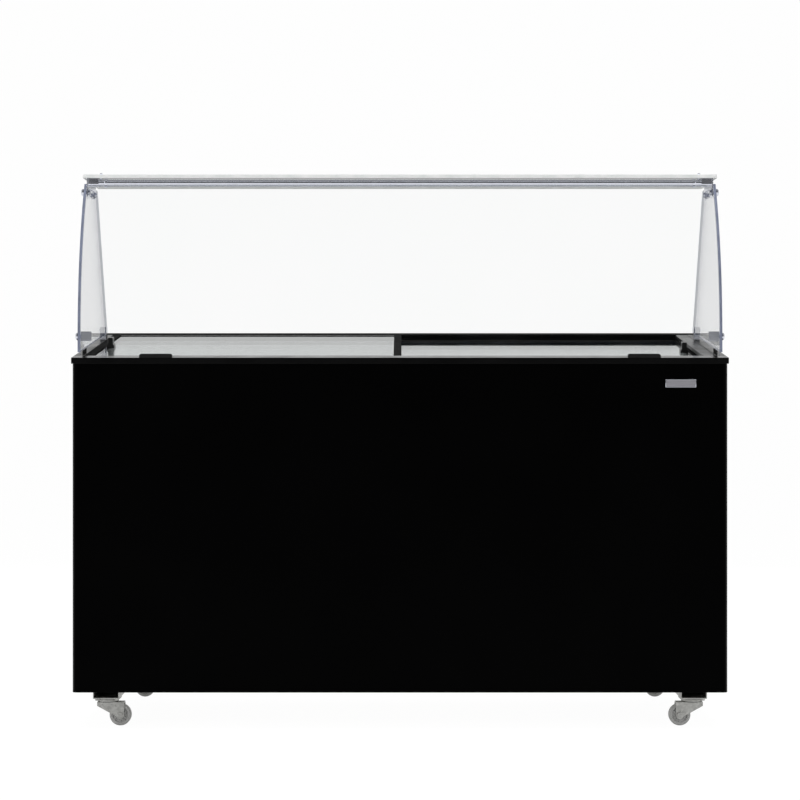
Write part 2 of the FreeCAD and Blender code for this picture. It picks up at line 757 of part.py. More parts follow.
# power cord: out of the fascia through an elbow gland, coiled flat over the hook,
# moulded plug in the middle; points are (x, z) in one upright plane
cord_y = 656.7 - mid_depth
cord_z = 360            # where the cable leaves the gland
coil_top = 335.0
turn_r = 100.0
turn_shrink = 3.8       # radius lost at each half turn
elbow_r = 15
end_bend_r = 40
plug_x = hook_x + end_bend_r
plug_z = 215
DIAGONAL = math.sqrt(0.5)


def arc(*points):
    return Part.Arc(*[Vector(x, cord_y, z) for x, z in points]).toShape()


def straight(*points):
    return Part.LineSegment(*[Vector(x, cord_y, z) for x, z in points]).toShape()


elbow_x = cord_x - elbow_r
elbow_z = coil_top + elbow_r
edges = [
    straight((cord_x, cord_z), (cord_x, elbow_z)),
    arc((cord_x, elbow_z), (elbow_x + elbow_r * DIAGONAL, elbow_z - elbow_r * DIAGONAL),
        (elbow_x, coil_top)),
    straight((elbow_x, coil_top), (hook_x, coil_top)),
]
turn_z = coil_top
for i in range(5):
    side = -1 if i % 2 == 0 else 1
    next_z = turn_z + side * 2 * turn_r
    edges.append(arc((hook_x, turn_z), (hook_x + side * turn_r, (turn_z + next_z) / 2),
                     (hook_x, next_z)))
    turn_z = next_z
    turn_r -= turn_shrink
bend_top = turn_z + end_bend_r
edges += [
    arc((hook_x, turn_z), (hook_x + end_bend_r * DIAGONAL, bend_top - end_bend_r * DIAGONAL),
        (plug_x, bend_top)),
    straight((plug_x, bend_top), (plug_x, plug_z)),
]
cord_ring = Part.Wire([Part.makeCircle(3.5, Vector(cord_x, cord_y, cord_z), Vector(0, 0, 1))])
cable = Part.Wire(edges).makePipeShell([cord_ring], True, False)
gland = Part.makeCylinder(5.45, 14, Vector(cord_x, 640 - mid_depth, control_z),
                          Vector(0, 1, 0))
gland = gland.fuse(Part.makeBox(16, 9, 20, Vector(cord_x - 8, 653.1 - mid_depth, cord_z)))
plug_body = Part.makeBox(38, 15, 30, Vector(plug_x - 19, cord_y - 3.5, plug_z))
plug_edges = [e for e in plug_body.Edges if abs(e.tangentAt(e.FirstParameter).z) > 0.9]
plug_body = plug_body.makeFillet(4, plug_edges)
pins = [Part.makeCylinder(2.4, 19, Vector(plug_x + x, cord_y + 5.6, plug_z + 30))
        for x in (-9.5, 9.5)]
cord = doc.addObject("Part::Feature", "PowerCord")
cord.Shape = cable.fuse([gland, plug_body.fuse(pins)])
node("power_cord", cord)

# ---------------------------------------------------------------- top frame
rim_x = half_w + rim_over
rim_t = 3.1             # thickness of the rims' top, square to the slope
wall_drop = 22          # foot of the rims' inner walls below the top
lip_gap = 0.05          # between the cabinet and the rims' outer lips
rear_ledge = 603
rim_rear_s = body_d + rim_over


def end_relief(body, s0, s1):
    """Stops the rim's inner wall at both ends, where the insulated end walls begin."""
    for i, x in enumerate((-rim_x, end_in + rim_wall)):
        sketch = new_sketch(body, "YZ_Plane", x, "EndRelief%d" % i)
        outline(sketch, [roof(s0, rim_t), roof(s1, rim_t), roof(s1, 23), roof(s0, 23)])
        pocket(body, sketch, rim_x - end_in - rim_wall, True, "EndReliefCut%d" % i)


wall_s = ledge - rim_wall
front_lip_z = top_at(0) - rim_lip
front_rim = prism("FrontRim", "YZ_Plane", [
    roof(-rim_over), roof(ledge), roof(ledge, wall_drop), roof(wall_s, wall_drop),
    roof(wall_s, rim_t), roof(-lip_gap, rim_t), at(-lip_gap, front_lip_z),
    at(-rim_over, front_lip_z)], -rim_x, rim_x)
end_relief(front_rim, wall_s - 1, ledge + 1)
node("front_rim", front_rim)

wall_s = rear_ledge + rim_wall
rear_lip_z = top_at(rim_rear_s) - rim_lip
rear_rim = prism("RearRim", "YZ_Plane", [
    roof(rear_ledge), roof(rim_rear_s), at(rim_rear_s, rear_lip_z),
    at(body_d + lip_gap, rear_lip_z), (y_at(body_d + lip_gap), top_at(body_d, rim_t)),
    roof(wall_s, rim_t), roof(wall_s, wall_drop), roof(rear_ledge, wall_drop)],
    -rim_x, rim_x)
end_relief(rear_rim, rear_ledge - 1, wall_s + 1)
node("rear_rim", rear_rim)

end_rim = prism("EndRim", "XZ_Plane", [
    (end_in, 0), (rim_x, 0), (rim_x, -rim_lip), (half_w + lip_gap, -rim_lip),
    (half_w + lip_gap, -rim_t), (end_in + rim_wall, -rim_t),
    (end_in + rim_wall, -wall_drop), (end_in, -wall_drop)], 49, 604)
node("end_rims", pair("EndRims", on_slope(end_rim)))

# slide tracks: an L along each long side
track_x = end_in - 0.5


def track(name, face, inward):
    """face is the depth of the outer side; inward is +1 at the front, -1 at the rear."""
    toe = face + inward * 15.6
    wall = face + inward * 7.6
    return prism(name, "YZ_Plane", [
        roof(face, 23.95), roof(toe, 23.95), roof(toe, 21.7), roof(wall, 21.7),
        roof(wall, 10), roof(face, 10)], -track_x, track_x)


node("slide_tracks", group("SlideTracks", [track("TrackFront", 46.9, 1),
                                           track("TrackRear", 602.8, -1)]))

filler = prism("EndFiller", "XZ_Plane", [
    (700, -9.6), (track_x, -9.6), (track_x, -0.5), (701.5, -0.5), (700, -2)], 49.5, 603.5)
node("right_end_rail", on_slope(filler))

# clips that hold the foot of the front glass
clip_x = 559
clip_w = 75
clip_foot_z = guard_foot_z - 0.2
clip = prism("FrontGlassClip", "YZ_Plane", [
    roof(-rim_over), roof(11.5), at(11.5, 859), at(8.4, 859), at(8.4, clip_foot_z),
    at(1.7, clip_foot_z), at(1.7, 858.3), at(-rim_over, 858.3)],
    Size.of(clip_x - clip_w / 2), clip_x + clip_w / 2)
fillet(clip, lambda e: along(e, 1) and mid_of(e).z > 857, 5)
node("front_glass_clips", pair("FrontGlassClips", clip))

badge = prism("Badge", "XZ_Plane", rectangle(607, 677, 782, 800), y_at(-1.9), y_at(0))
fillet(badge, lambda e: along(e, 1), 6)
node("badge", badge)


# ---------------------------------------------------------------- sliding lids
# Drawn flat on the slope: y runs up the slope, z square to it.
def lid(tag, x0, x1, left_w, right_w, drop, y0, y1, pull_x):
    """left_w and right_w are the widths of the two end bars, drop the lid's depth."""
    frame_top = -drop
    frame_foot = -drop - lid_t
    glass_top = frame_top - 2.5
    glass_foot = glass_top - glass_t
    glass = box(tag + "Glass", x0 + 2, x1 - 2, y0 + 1, y1 - 1, glass_foot, glass_top)
    glass = part_fillet(tag + "GlassRounded", glass, upright, 3)
    node(tag + "_lid_glass", on_slope(glass))

    # bars and rails: channels open inwards, gripping the glass
    groove0 = glass_foot - 0.05
    groove1 = glass_top + 0.05
    bars = []
    for side, outer, width, inward in (("L", x0, left_w, 1), ("R", x1, right_w, -1)):
        inner = outer + inward * width
        web = outer + inward * 1.95
        bars.append(prism(tag + "Bar" + side, "XZ_Plane", [
            (outer, frame_foot), (inner, frame_foot), (inner, groove0), (web, groove0),
            (web, groove1), (inner, groove1), (inner, frame_top - 0.8),
            (inner - inward * 1.2, frame_top), (outer, frame_top)], y0, y1))
    node(tag + "_lid_end_bars", on_slope(group(tag + "Bars", bars)))
    rails = []
    for side, outer, inward in (("F", y0, 1), ("B", y1, -1)):
        inner = outer + inward * rail_w
        web = outer + inward * 0.95
        rails.append(prism(tag + "Rail" + side, "YZ_Plane", [
            (outer, frame_foot), (inner, frame_foot), (inner, groove0), (web, groove0),
            (web, groove1), (inner, groove1), (inner, frame_top - 1),
            (outer, frame_top - 1)], x0 + left_w, x1 - right_w))
    node(tag + "_lid_edge_rails", on_slope(group(tag + "Rails", rails)))

    # pull: (half width, height above the glass), foot to tip
    half = [(9, 0), (9, 6), (6, 10), (6, pull_h - 2), (4.5, pull_h)]
    right = [(pull_x + x, glass_top + z) for x, z in half]
    left = [(pull_x - x, glass_top + z) for x, z in half]
    pull = prism(tag + "Pull", "XZ_Plane", [left[0]] + right + left[:0:-1],
                 pull_s - 15, pull_s + 15)
    fillet(pull, upright, 2)
    node(tag + "_lid_pull", on_slope(pull))


right_x0 = mid_x - mid_w
lid("left", -track_x, mid_x, bar_w, mid_w, upper_drop, 48.4, 603.6, -694)
lid("right", right_x0, right_x0 + 731.5, mid_w, bar_w, lower_drop, 55.6, 594.4, 682)

# ---------------------------------------------------------------- glass guard
arc_s = guard_s + arc_r
KNOBS = ((122, 1238), (243, 1242), (24, 899))       # side glass fixings, (depth, z)
knob_holes = [(at(s, z), 4) for s, z in KNOBS]


def arc_y(radius, z):
    """y of the guard's curve at a height."""
    run = math.sqrt(radius.value ** 2 - (z.value - arc_z.value) ** 2)
    return arc_s.value - run - mid_depth


def bent_edge(sketch, radius, end_z, foot, head):
    """The guard's curve, from straight up at the arc's centre height to end_z.
    foot and head are the (geometry, point) it meets at its lower and upper end."""
    centre = Vector(arc_s.value - mid_depth, arc_z.value, 0)
    head_angle = math.pi - math.asin((end_z.value - arc_z.value) / radius.value)
    ring = Part.Circle(centre, Vector(0, 0, 1), radius.value)
    geo = sketch.addGeometry(Part.ArcOfCircle(ring, head_angle, math.pi), False)
    coord(sketch, geo, 3, y_at(arc_s), arc_z)
    join(sketch, geo, 2, *foot)
    join(sketch, geo, 1, *head)


# side glasses: straight front foot, curved front, level top, sloping rear edge
side_glass = new_body("SideGlass")
sketch = new_sketch(side_glass, "YZ_Plane", side_x)
front_foot = at(guard_s, top_at(guard_s) + side_lift)
arc_foot = at(guard_s, arc_z)
top_rear = at(side_back_s, side_top_z)
rear_foot = at(side_foot_s, top_at(side_foot_s) + side_lift)
line(sketch, front_foot, arc_foot)
line(sketch, (arc_y(arc_r, side_top_z), side_top_z), top_rear)
line(sketch, top_rear, rear_foot)
line(sketch, rear_foot, front_foot)
bent_edge(sketch, arc_r, side_top_z, (0, 2), (1, 1))
join(sketch, 1, 2, 2, 1)
join(sketch, 2, 2, 3, 1)
join(sketch, 3, 2, 0, 1)
coord(sketch, 0, 1, *front_foot)
coord(sketch, 0, 2, *arc_foot)
coord(sketch, 2, 1, *top_rear)
coord(sketch, 2, 2, *rear_foot)
dimension(sketch, side_top_z, "DistanceY", -1, 1, 1, 1)
side_glass.Tip = pad(side_glass, sketch, pane)
rear_limit = side_back_s.value - mid_depth - 1
fillet(side_glass, lambda e: along(e, 0) and mid_of(e).y > rear_limit, 12)
sketch = new_sketch(side_glass, "YZ_Plane", side_x, "KnobHoles")
for centre, radius in knob_holes:
    circle(sketch, *centre, radius)
pocket(side_glass, sketch, 40, True, mid=True)
node("side_glasses", pair("SideGlasses", side_glass))

# front glass, bent over at the top and notched at its two ends
front_x = side_x - 0.3
inner_r = arc_r - pane
front_glass = new_body("FrontGlass")
sketch = new_sketch(front_glass, "YZ_Plane", -front_x)
outer_foot = at(guard_s, guard_foot_z)
outer_bend = at(guard_s, arc_z)
inner_bend = at(guard_s + pane, arc_z)
inner_foot = at(guard_s + pane, guard_foot_z)
line(sketch, outer_foot, outer_bend)
line(sketch, (arc_y(arc_r, guard_top_z), guard_top_z),
     (arc_y(inner_r, guard_top_z), guard_top_z))
line(sketch, inner_bend, inner_foot)
line(sketch, inner_foot, outer_foot)
bent_edge(sketch, arc_r, guard_top_z, (0, 2), (1, 1))
bent_edge(sketch, inner_r, guard_top_z, (2, 1), (1, 2))
join(sketch, 2, 2, 3, 1)
join(sketch, 3, 2, 0, 1)
coord(sketch, 0, 1, *outer_foot)
coord(sketch, 0, 2, *outer_bend)
coord(sketch, 2, 1, *inner_bend)
coord(sketch, 2, 2, *inner_foot)
for pos in (1, 2):
    dimension(sketch, guard_top_z, "DistanceY", -1, 1, 1, pos)
pad(front_glass, sketch, front_x * 2)
notch_spans = ((-front_x - 2, -front_x + 3.6), (front_x - 3.6, front_x + 2))
notches = [box("GlassNotch%d" % i, x0, x1, y_at(90), y_at(130), 1226, 1260)
           for i, (x0, x1) in enumerate(notch_spans)]
node("front_glass", cut("FrontGlassNotched", front_glass, notches))

# top glass on two pegs
peg_x = 698.5
top_glass = prism("TopGlass", "XY_Plane",
                  rectangle(-top_x, top_x, y_at(top_front_s), y_at(top_rear_s)),
                  top_z, top_z + top_t,
                  [((peg_x, tube_y), 3.6), ((-peg_x, tube_y), 3.6)])
fillet(top_glass, lambda e: upright(e) and abs(mid_of(e).x) > 730, 8)
node("top_glass", top_glass)

# tube under the top glass, with its collars, end connectors and pegs
tube_out = cyl("TubeOuter", tube_r, tube_x * 2, -tube_x, tube_y, tube_z, ALONG_X)
tube_in = cyl("TubeInner", tube_r - 1.5, tube_x * 2 + 20, -tube_x - 10, tube_y, tube_z,
              ALONG_X)
node("top_tube", cut("TopTube", tube_out, [tube_in]))

collar = spun("Collar", [
    (tube_r, -3), (tube_r + 2.2, -3), (tube_r + 2.4, -2.4), (tube_r + 2.4, 2.4),
    (tube_r + 2.2, 3), (tube_r, 3)])
node("tube_collars", pair("TubeCollars", place(collar, 686.6, tube_y, tube_z, ALONG_X)))

connector = prism("Connector", "YZ_Plane",
                  rectangle(tube_y - 11, tube_y + 11, 1252, top_z - 0.1),
                  tube_x, plate_x - 0.05)
fillet(connector, lambda e: along(e, 0) and mid_of(e).z < 1255, 5)
node("tube_connectors", pair("TubeConnectors", connector))

peg = spun("Peg", [(0, 0), (3.5, 0), (3.5, 13.6), (2.6, 14.8), (0, 15)])
node("top_glass_pegs", pair("TopGlassPegs", place(peg, peg_x, tube_y, tube_z + tube_r)))

# side brackets: an upright plate with a flange under the top glass
bracket_z = top_z - 0.2
bracket = prism("SideBracket", "YZ_Plane", [
    at(110, 1228), at(134, 1228), at(134, 1249), at(232, 1249), at(232, 1232),
    at(254, 1232), at(254, bracket_z), at(110, bracket_z)],
    plate_x, plate_x + 3, knob_holes[:2])
sketch = new_sketch(bracket, "XY_Plane", bracket_z - 3, "Flange")
outline(sketch, rectangle(plate_x - 18, plate_x + 1, y_at(206), y_at(254)))
pad(bracket, sketch, 3)
node("side_brackets", pair("SideBrackets", bracket))

# angle brackets between the front and side glasses
angle = prism("CornerBracket", "XY_Plane", [
    (plate_x + 3, y_at(36)), (plate_x, y_at(36)), (plate_x, y_at(11.4)),
    (plate_x - 21, y_at(11.4)), (plate_x - 21, y_at(8.4)), (plate_x + 3, y_at(8.4))],
    888, 910)
sketch = new_sketch(angle, "YZ_Plane", plate_x, "Hole")
circle(sketch, *knob_holes[2][0], knob_holes[2][1])
pocket(angle, sketch, 20, True, mid=True)
node("front_corner_brackets", pair("FrontCornerBrackets", angle))

glass_knobs = []
for i, (s, z) in enumerate(KNOBS):
    fixing = spun("GlassKnob%d" % i, [
        (0, -5), (5, -5), (6.5, -3.5), (6.5, -0.1), (3.9, -0.1), (3.9, 9.7), (8, 9.7),
        (8.5, 10.5), (8.5, 14), (6.5, 16.5), (0, 17)])
    glass_knobs.append(place(fixing, plate_x, y_at(s), z, ALONG_X))
node("glass_knobs", pair("GlassKnobs", group("KnobsRight", glass_knobs)))

# rear clamps: a slotted block with a screw on its outer side
clamp_s0 = 468
clamp_s1 = 492
slot_s0 = clamp_s0 - 6
slot_s1 = clamp_s1 + 6
slot_lift = side_lift - 0.1
clamp_out_x = side_x + pane + 7.4
clamp = prism("ClampBlock", "YZ_Plane", [
    roof(clamp_s0), roof(clamp_s1), at(clamp_s1, 934), at(clamp_s0, 934)],
    side_x - 2, clamp_out_x)
clamp_slot = prism("ClampSlot", "YZ_Plane", [
    at(slot_s0, top_at(slot_s0) + slot_lift), at(slot_s1, top_at(slot_s1) + slot_lift),
    at(slot_s1, 950), at(slot_s0, 950)], side_x - 0.05, side_x + pane + 0.05)
screw = cyl("ClampScrew", 4, 4, clamp_out_x, y_at((clamp_s0 + clamp_s1) / 2), 925, ALONG_X)
clamp = fuse("ClampWithScrew", [cut("Clamp", clamp, [clamp_slot]), screw])
node("rear_glass_clamps", pair("RearGlassClamps", clamp))

glass_pad = cyl("GlassPad", 5, side_lift * slope_cos - 0.1, side_x + pane / 2, 100.6, 0)
node("glass_pads", pair("GlassPads", on_slope(group("PadSeat", [glass_pad]))))

# ---------------------------------------------------------------- casters
# (tag, side in x, depth)
CASTERS = (("fl", -1, cast_front_s), ("fr", 1, cast_front_s),
           ("rl", -1, cast_rear_s), ("rr", 1, cast_rear_s))
rail_foot_z = 66
pin_r = 6 + run_fit     # kingpin hole

runners = []
for side in (-1, 1):
    x = side * cast_x
    outer = box("RunnerOut%d" % side, x - 30, x + 30, y_at(30), y_at(640), rail_foot_z, base_z)
    inner = box("RunnerIn%d" % side, x - 28, x + 28, y_at(20), y_at(650),
                rail_foot_z + 2, base_z + 5)
    runners.append(cut("Runner%d" % side, outer, [inner]))
node("caster_rails", group("CasterRails", runners))

# mounting plates with the swivel race and kingpin, and four hexagonal bolt heads each
bolt_spread = 22.0
hexagon = [(5.5 * math.cos(math.radians(60 * i)), 5.5 * math.sin(math.radians(60 * i)))
           for i in range(6)]
plates = []
bolts = []
for tag, side, s in CASTERS:
    x = side * cast_x
    y = y_at(s)
    plate = box("Plate_" + tag, x - 29, x + 29, y - 29, y + 29, plate_z, rail_foot_z)
    plate = part_fillet("PlateRounded_" + tag, plate, upright, 6)
    race = spun("Race_" + tag, [
        (0, 1), (23, 0), (25, -1.5), (25, -5), (22, -7.8), (6, -7.8), (6, -11.4), (9, -11.4),
        (9, -13.6), (7, -15.4), (0, -15.4)])
    place(race, x, y, plate_z)
    plates.append(fuse("PlateSolid_" + tag, [plate, race]))
    for i, (dx, dy) in enumerate(FOUR_CORNERS):
        bolt = prism("Bolt_%s%d" % (tag, i), "XY_Plane", hexagon, -3.4, 0)
        bolts.append(place(bolt, x + dx * bolt_spread, y + dy * bolt_spread, plate_z))
node("caster_plates", group("CasterPlates", plates))
node("caster_bolts", group("CasterBolts", bolts))


def caster_fork(tag):
    """Fork and axle about the swivel axis, trailing towards +X."""
    crown_top = plate_z - 8
    crown_foot = plate_z - 11
    boss = [(trail + 9.5 * math.cos(math.radians(a)), wheel_r + 9.5 * math.sin(math.radians(a)))
            for a in (20, -10, -40, -70, -100, -130, -160)]
    cheeks = [(-24, crown_top), (trail + 9, crown_top), (trail + 9.6, crown_top - 6)]
    fork = prism("Fork_" + tag, "XZ_Plane", cheeks + boss + [(-24, crown_top - 9)], -14, 14)
    gap = new_sketch(fork, "XZ_Plane", 11.4, "WheelGap")
    outline(gap, rectangle(-60, 90, -10, crown_foot))
    pocket(fork, gap, 22.8, name="GapCut")
    pin = new_sketch(fork, "XY_Plane", crown_top, "KingpinHole")
    circle(pin, 0, 0, pin_r)
    pocket(fork, pin, 40, name="PinCut", mid=True)
    crown = new_sketch(fork, "XY_Plane", crown_foot, "Crown")
    circle(crown, 0, 0, 23)
    circle(crown, 0, 0, pin_r)
    pad(fork, crown, 3, name="CrownDisc")
    axle_hole = new_sketch(fork, "XZ_Plane", 20, "AxleHole")
    circle(axle_hole, trail, wheel_r, axle_r)
    pocket(fork, axle_hole, 40, name="AxleCut")
    axle = spun("Axle_" + tag, [
        (0, -17), (6, -17), (6, -14), (axle_r, -14), (axle_r, 14), (6.5, 14), (6.5, 18.5),
        (0, 18.5)])
    place(axle, trail, 0, wheel_r, ALONG_Y)
    return group("ForkSet_" + tag, [fork, axle])


def caster_wheel(tag):
    face = -wheel_w / 2
    half = [
        (axle_r + run_fit, face - 0.8), (axle_r + 4, face - 0.8), (axle_r + 4.5, face + 3),
        (wheel_r - 8, face + 3), (wheel_r - 7, face), (wheel_r - 3, face), (wheel_r, face + 3)]
    return spun("Wheel_" + tag, half + [(r, -z) for r, z in reversed(half)])


# every caster trails towards the middle of the length
for tag, side, s in CASTERS:
    turn = Rotation(Vector(0, 0, 1), 0 if side < 0 else 180)
    fork = place(caster_fork(tag), side * cast_x, y_at(s), 0, turn)
    node("caster_fork_" + tag, fork)
    wheel = place(caster_wheel(tag), side * cast_x - side * trail, y_at(s), wheel_r, ALONG_Y)
    node("caster_wheel_" + tag, wheel)

# ---------------------------------------------------------------- check and export
doc.recompute()
bad = []
for obj in doc.Objects:
    if any(word in obj.State for word in ("Invalid", "Error")):
        bad.append("%s (%s): %s" % (obj.Name, obj.Label, obj.State))
for label, obj in nodes.items():
    if obj.Shape.isNull() or not obj.Shape.isValid() or not obj.Shape.Solids:
        bad.append("%s has no valid solid" % label)
if bad:
    raise SystemExit("Not built:\n" + "\n".join(bad))
for label, obj in nodes.items():
    obj.Shape.exportStep("parts/%s.step" % label)
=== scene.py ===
# A glass-topped refrigerated chest on four casters, with two lids on a sloping top.
# Metres. It stands on z = 0 and is centred on x = 0; -y is the front, +y the rear, +x the
# right. The machine bay, vent grille and control panel are at the right of the rear.
import bpy, bmesh, math, json
from mathutils import Vector, Matrix


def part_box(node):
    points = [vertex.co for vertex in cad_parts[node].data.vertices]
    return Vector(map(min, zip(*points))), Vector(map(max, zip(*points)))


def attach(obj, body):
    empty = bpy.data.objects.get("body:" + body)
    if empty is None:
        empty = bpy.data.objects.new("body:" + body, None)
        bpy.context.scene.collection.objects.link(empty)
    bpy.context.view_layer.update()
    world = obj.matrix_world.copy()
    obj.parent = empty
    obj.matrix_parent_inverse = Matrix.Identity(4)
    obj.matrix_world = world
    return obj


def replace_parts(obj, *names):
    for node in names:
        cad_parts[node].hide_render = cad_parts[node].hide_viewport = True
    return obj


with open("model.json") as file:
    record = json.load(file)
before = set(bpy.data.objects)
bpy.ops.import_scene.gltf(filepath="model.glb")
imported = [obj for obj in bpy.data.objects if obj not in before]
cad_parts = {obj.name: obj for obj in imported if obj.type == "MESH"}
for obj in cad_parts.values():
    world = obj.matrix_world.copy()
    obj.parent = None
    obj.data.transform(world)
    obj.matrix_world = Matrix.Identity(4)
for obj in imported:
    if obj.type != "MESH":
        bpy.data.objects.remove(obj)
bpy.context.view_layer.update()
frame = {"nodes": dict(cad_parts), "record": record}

nodes = frame["nodes"]
scene = bpy.context.scene

SINK = 0.0001  # how far applied details start below the face they sit on
FAN_X, FAN_Y, FAN_Z = 0.605, 0.21285, 0.212
KNOB_X, KNOB_Y, KNOB_Z = 0.7, 0.31685, 0.37
REAR_FACE = 0.31690


# ---------------------------------------------------------------- shader tools


class Shader:
    """A cleared node tree; every helper returns an output socket."""

    def __init__(self, owner, output):
        owner.use_nodes = True
        self.owner = owner
        self.tree = owner.node_tree
        self.tree.nodes.clear()
        self.output = self.tree.nodes.new(output)

    def node(self, kind, inputs=None, socket=0, **props):
        node = self.tree.nodes.new(kind)
        for key, value in props.items():
            setattr(node, key, value)
        for key, value in (inputs or {}).items():
            self.put(node.inputs[key], value)
        return node.outputs[socket]

    def put(self, target, value):
        if isinstance(value, bpy.types.NodeSocket):
            self.tree.links.new(value, target)
        elif isinstance(value, (tuple, list)) and len(value) == 3 and target.type == "RGBA":
            target.default_value = (*value, 1)
        else:
            target.default_value = value

    def span(self, value, over=(0.3, 0.7), to=(0, 1), **props):
        """Remap value from the range `over` to the range `to`."""
        return self.node("ShaderNodeMapRange",
                         {0: value, 1: over[0], 2: over[1], 3: to[0], 4: to[1]}, **props)

    def maths(self, operation, first, second):
        return self.node("ShaderNodeMath", {0: first, 1: second}, operation=operation)

    def finish(self, shader):
        self.put(self.output.inputs[0], shader)
        return self.owner


class Material(Shader):
    def __init__(self, name):
        super().__init__(bpy.data.materials.new(name), "ShaderNodeOutputMaterial")
        self.coords = self.node("ShaderNodeTexCoord", socket="Object")

    def stretch(self, scale):
        return self.node("ShaderNodeMapping", {"Vector": self.coords, "Scale": scale})

    def noise(self, scale, detail=4.0, rough=0.55, vector=None):
        return self.node("ShaderNodeTexNoise", {"Vector": vector or self.coords, "Scale": scale,
                                                "Detail": detail, "Roughness": rough})

    def cells(self, scale, socket):
        return self.node("ShaderNodeTexVoronoi", {"Vector": self.coords, "Scale": scale}, socket)

    def mix(self, factor, first, second):
        return self.node("ShaderNodeMix", {0: factor, 6: first, 7: second}, 2, data_type="RGBA")

    def bump(self, height, strength, distance, normal=None):
        inputs = {"Strength": strength, "Distance": distance, "Height": height}
        if normal:
            inputs["Normal"] = normal
        return self.node("ShaderNodeBump", inputs)

    def normal(self):
        return self.node("ShaderNodeNewGeometry", socket="Normal")

    def edges(self, radius, over):
        """0 on faces, 1 along convex and concave edges."""
        rounded = self.node("ShaderNodeBevel", {"Radius": radius}, samples=3)
        match = self.node("ShaderNodeVectorMath", {0: rounded, 1: self.normal()}, "Value",
                          operation="DOT_PRODUCT")
        return self.span(match, over=over, to=(1.0, 0.0))

    def principled(self, **inputs):
        inputs = {key.replace("_", " "): value for key, value in inputs.items()}
        return self.finish(self.node("ShaderNodeBsdfPrincipled", inputs))


def grey(value):
    return (value, value, value)


def scaled(colour, factor, lift=0):
    return tuple(min(1, c * factor + lift) for c in colour)


# ---------------------------------------------------------------- materials


def plastic(name, dark, light, rough, grain=900.0, depth=0.0001, spec=0.35, wear=0.0):
    """Mottled, finely grained plastic or enamel; wear lightens its edges."""
    m = Material(name)
    mottle, fine = m.noise(scale=6.0, detail=3), m.noise(scale=grain, detail=2)
    colour = m.mix(m.span(mottle, over=(0.35, 0.65)), dark, light)
    if wear:
        patches = m.maths("MULTIPLY", m.edges(radius=0.0012, over=(0.80, 0.98)),
                          m.span(m.noise(scale=60), over=(0.45, 0.7), to=(0.0, wear)))
        colour = m.mix(patches, colour, scaled(light, 4, lift=0.03))
    roughness = m.maths(
        "ADD", m.span(m.noise(scale=14, detail=5), to=(rough - 0.06, rough + 0.07)),
        m.span(fine, to=(-0.03, 0.03)))
    return m.principled(Base_Color=colour, Roughness=roughness, Specular_IOR_Level=spec,
                        Normal=m.bump(fine, strength=0.25, distance=depth))


def metal(name, dark, light, rough, brush=(1, 1, 1), scale=220.0, spangle=0.0,
          depth=0.00005, tarnish=None):
    """Streaked metal; brush squeezes the streaks, spangle adds crystal patches."""
    m = Material(name)
    streak = m.noise(scale=scale, detail=5, rough=0.6, vector=m.stretch(brush))
    colour = m.mix(m.span(streak), dark, light)
    roughness = m.span(streak, over=(0.25, 0.75), to=(rough * 0.7, rough * 1.35))
    if spangle:
        crystal = m.node("ShaderNodeSeparateColor", {0: m.cells(scale=180.0, socket="Color")})
        colour = m.mix(m.span(crystal, over=(0, 1), to=(0, spangle)), colour,
                       scaled(dark, 0.62))
        roughness = m.maths("ADD", roughness, m.span(crystal, over=(0, 1), to=(-0.07, 0.09)))
    if tarnish:
        stain = m.span(m.noise(scale=28, detail=6), over=(0.48, 0.72), to=(0, 0.75))
        colour = m.mix(stain, colour, tarnish)
    smudge = m.span(m.noise(scale=9, detail=6), over=(0.45, 0.75), to=(0.0, 0.10))
    return m.principled(Base_Color=colour, Metallic=1.0,
                        Roughness=m.maths("ADD", roughness, smudge),
                        Normal=m.bump(streak, strength=0.3, distance=depth))


def black_paint():
    """Orange-peel paint, less specular on the faces turned to the front."""
    m = Material("black_painted_sheet")
    peel, dust = m.noise(scale=420, detail=2, rough=0.5), m.noise(scale=3.2, detail=5)
    colour = m.mix(m.span(dust, over=(0.4, 0.7)),
                   (0.0003, 0.0003, 0.00035), (0.0007, 0.0007, 0.00075))
    wear = m.maths("MULTIPLY", m.edges(radius=0.001, over=(0.82, 0.98)),
                   m.span(m.noise(scale=45, detail=5), over=(0.5, 0.75), to=(0, 0.12)))
    colour = m.mix(wear, colour, (0.05, 0.05, 0.052))
    roughness = m.span(m.noise(scale=2.5, rough=0.5), to=(0.29, 0.33))
    waves = m.bump(m.noise(scale=1.6, detail=2), strength=0.08, distance=0.004,
                   normal=m.bump(peel, strength=0.10, distance=0.00012))
    facing = m.node("ShaderNodeSeparateXYZ", {0: m.normal()}, "Y")
    return m.principled(Base_Color=colour, Roughness=roughness, Normal=waves,
                        Specular_IOR_Level=m.span(facing, over=(-0.9, -0.5), to=(0.02, 0.16)))


def white_sheet():
    """White sheet with patches of frost."""
    m = Material("white_liner_sheet")
    frost = m.maths("MULTIPLY", m.noise(scale=70, detail=8, rough=0.7),
                    m.span(m.noise(scale=5), over=(0.4, 0.65)))
    colour = m.mix(m.span(m.noise(scale=7)), (0.70, 0.72, 0.73), (0.80, 0.81, 0.82))
    relief = m.bump(m.noise(scale=330, detail=3), strength=0.15, distance=0.0002,
                    normal=m.bump(frost, strength=0.35, distance=0.0012))
    return m.principled(Base_Color=colour, Normal=relief,
                        Roughness=m.span(frost, over=(0.1, 0.5), to=(0.28, 0.62)))


def foam():
    m = Material("cut_foam")
    cell = m.cells(scale=900, socket="Distance")
    colour = m.mix(m.span(m.noise(scale=25, detail=6)), (0.62, 0.48, 0.25), (0.78, 0.66, 0.42))
    # Painted shade: the cell pits, which lie low in the bump, are painted darker.
    colour = m.mix(m.span(cell, over=(0.0, 0.5), to=(0.5, 0.0)), colour, (0.40, 0.29, 0.13))
    return m.principled(Base_Color=colour, Roughness=0.92,
                        Normal=m.bump(cell, strength=0.6, distance=0.0006))


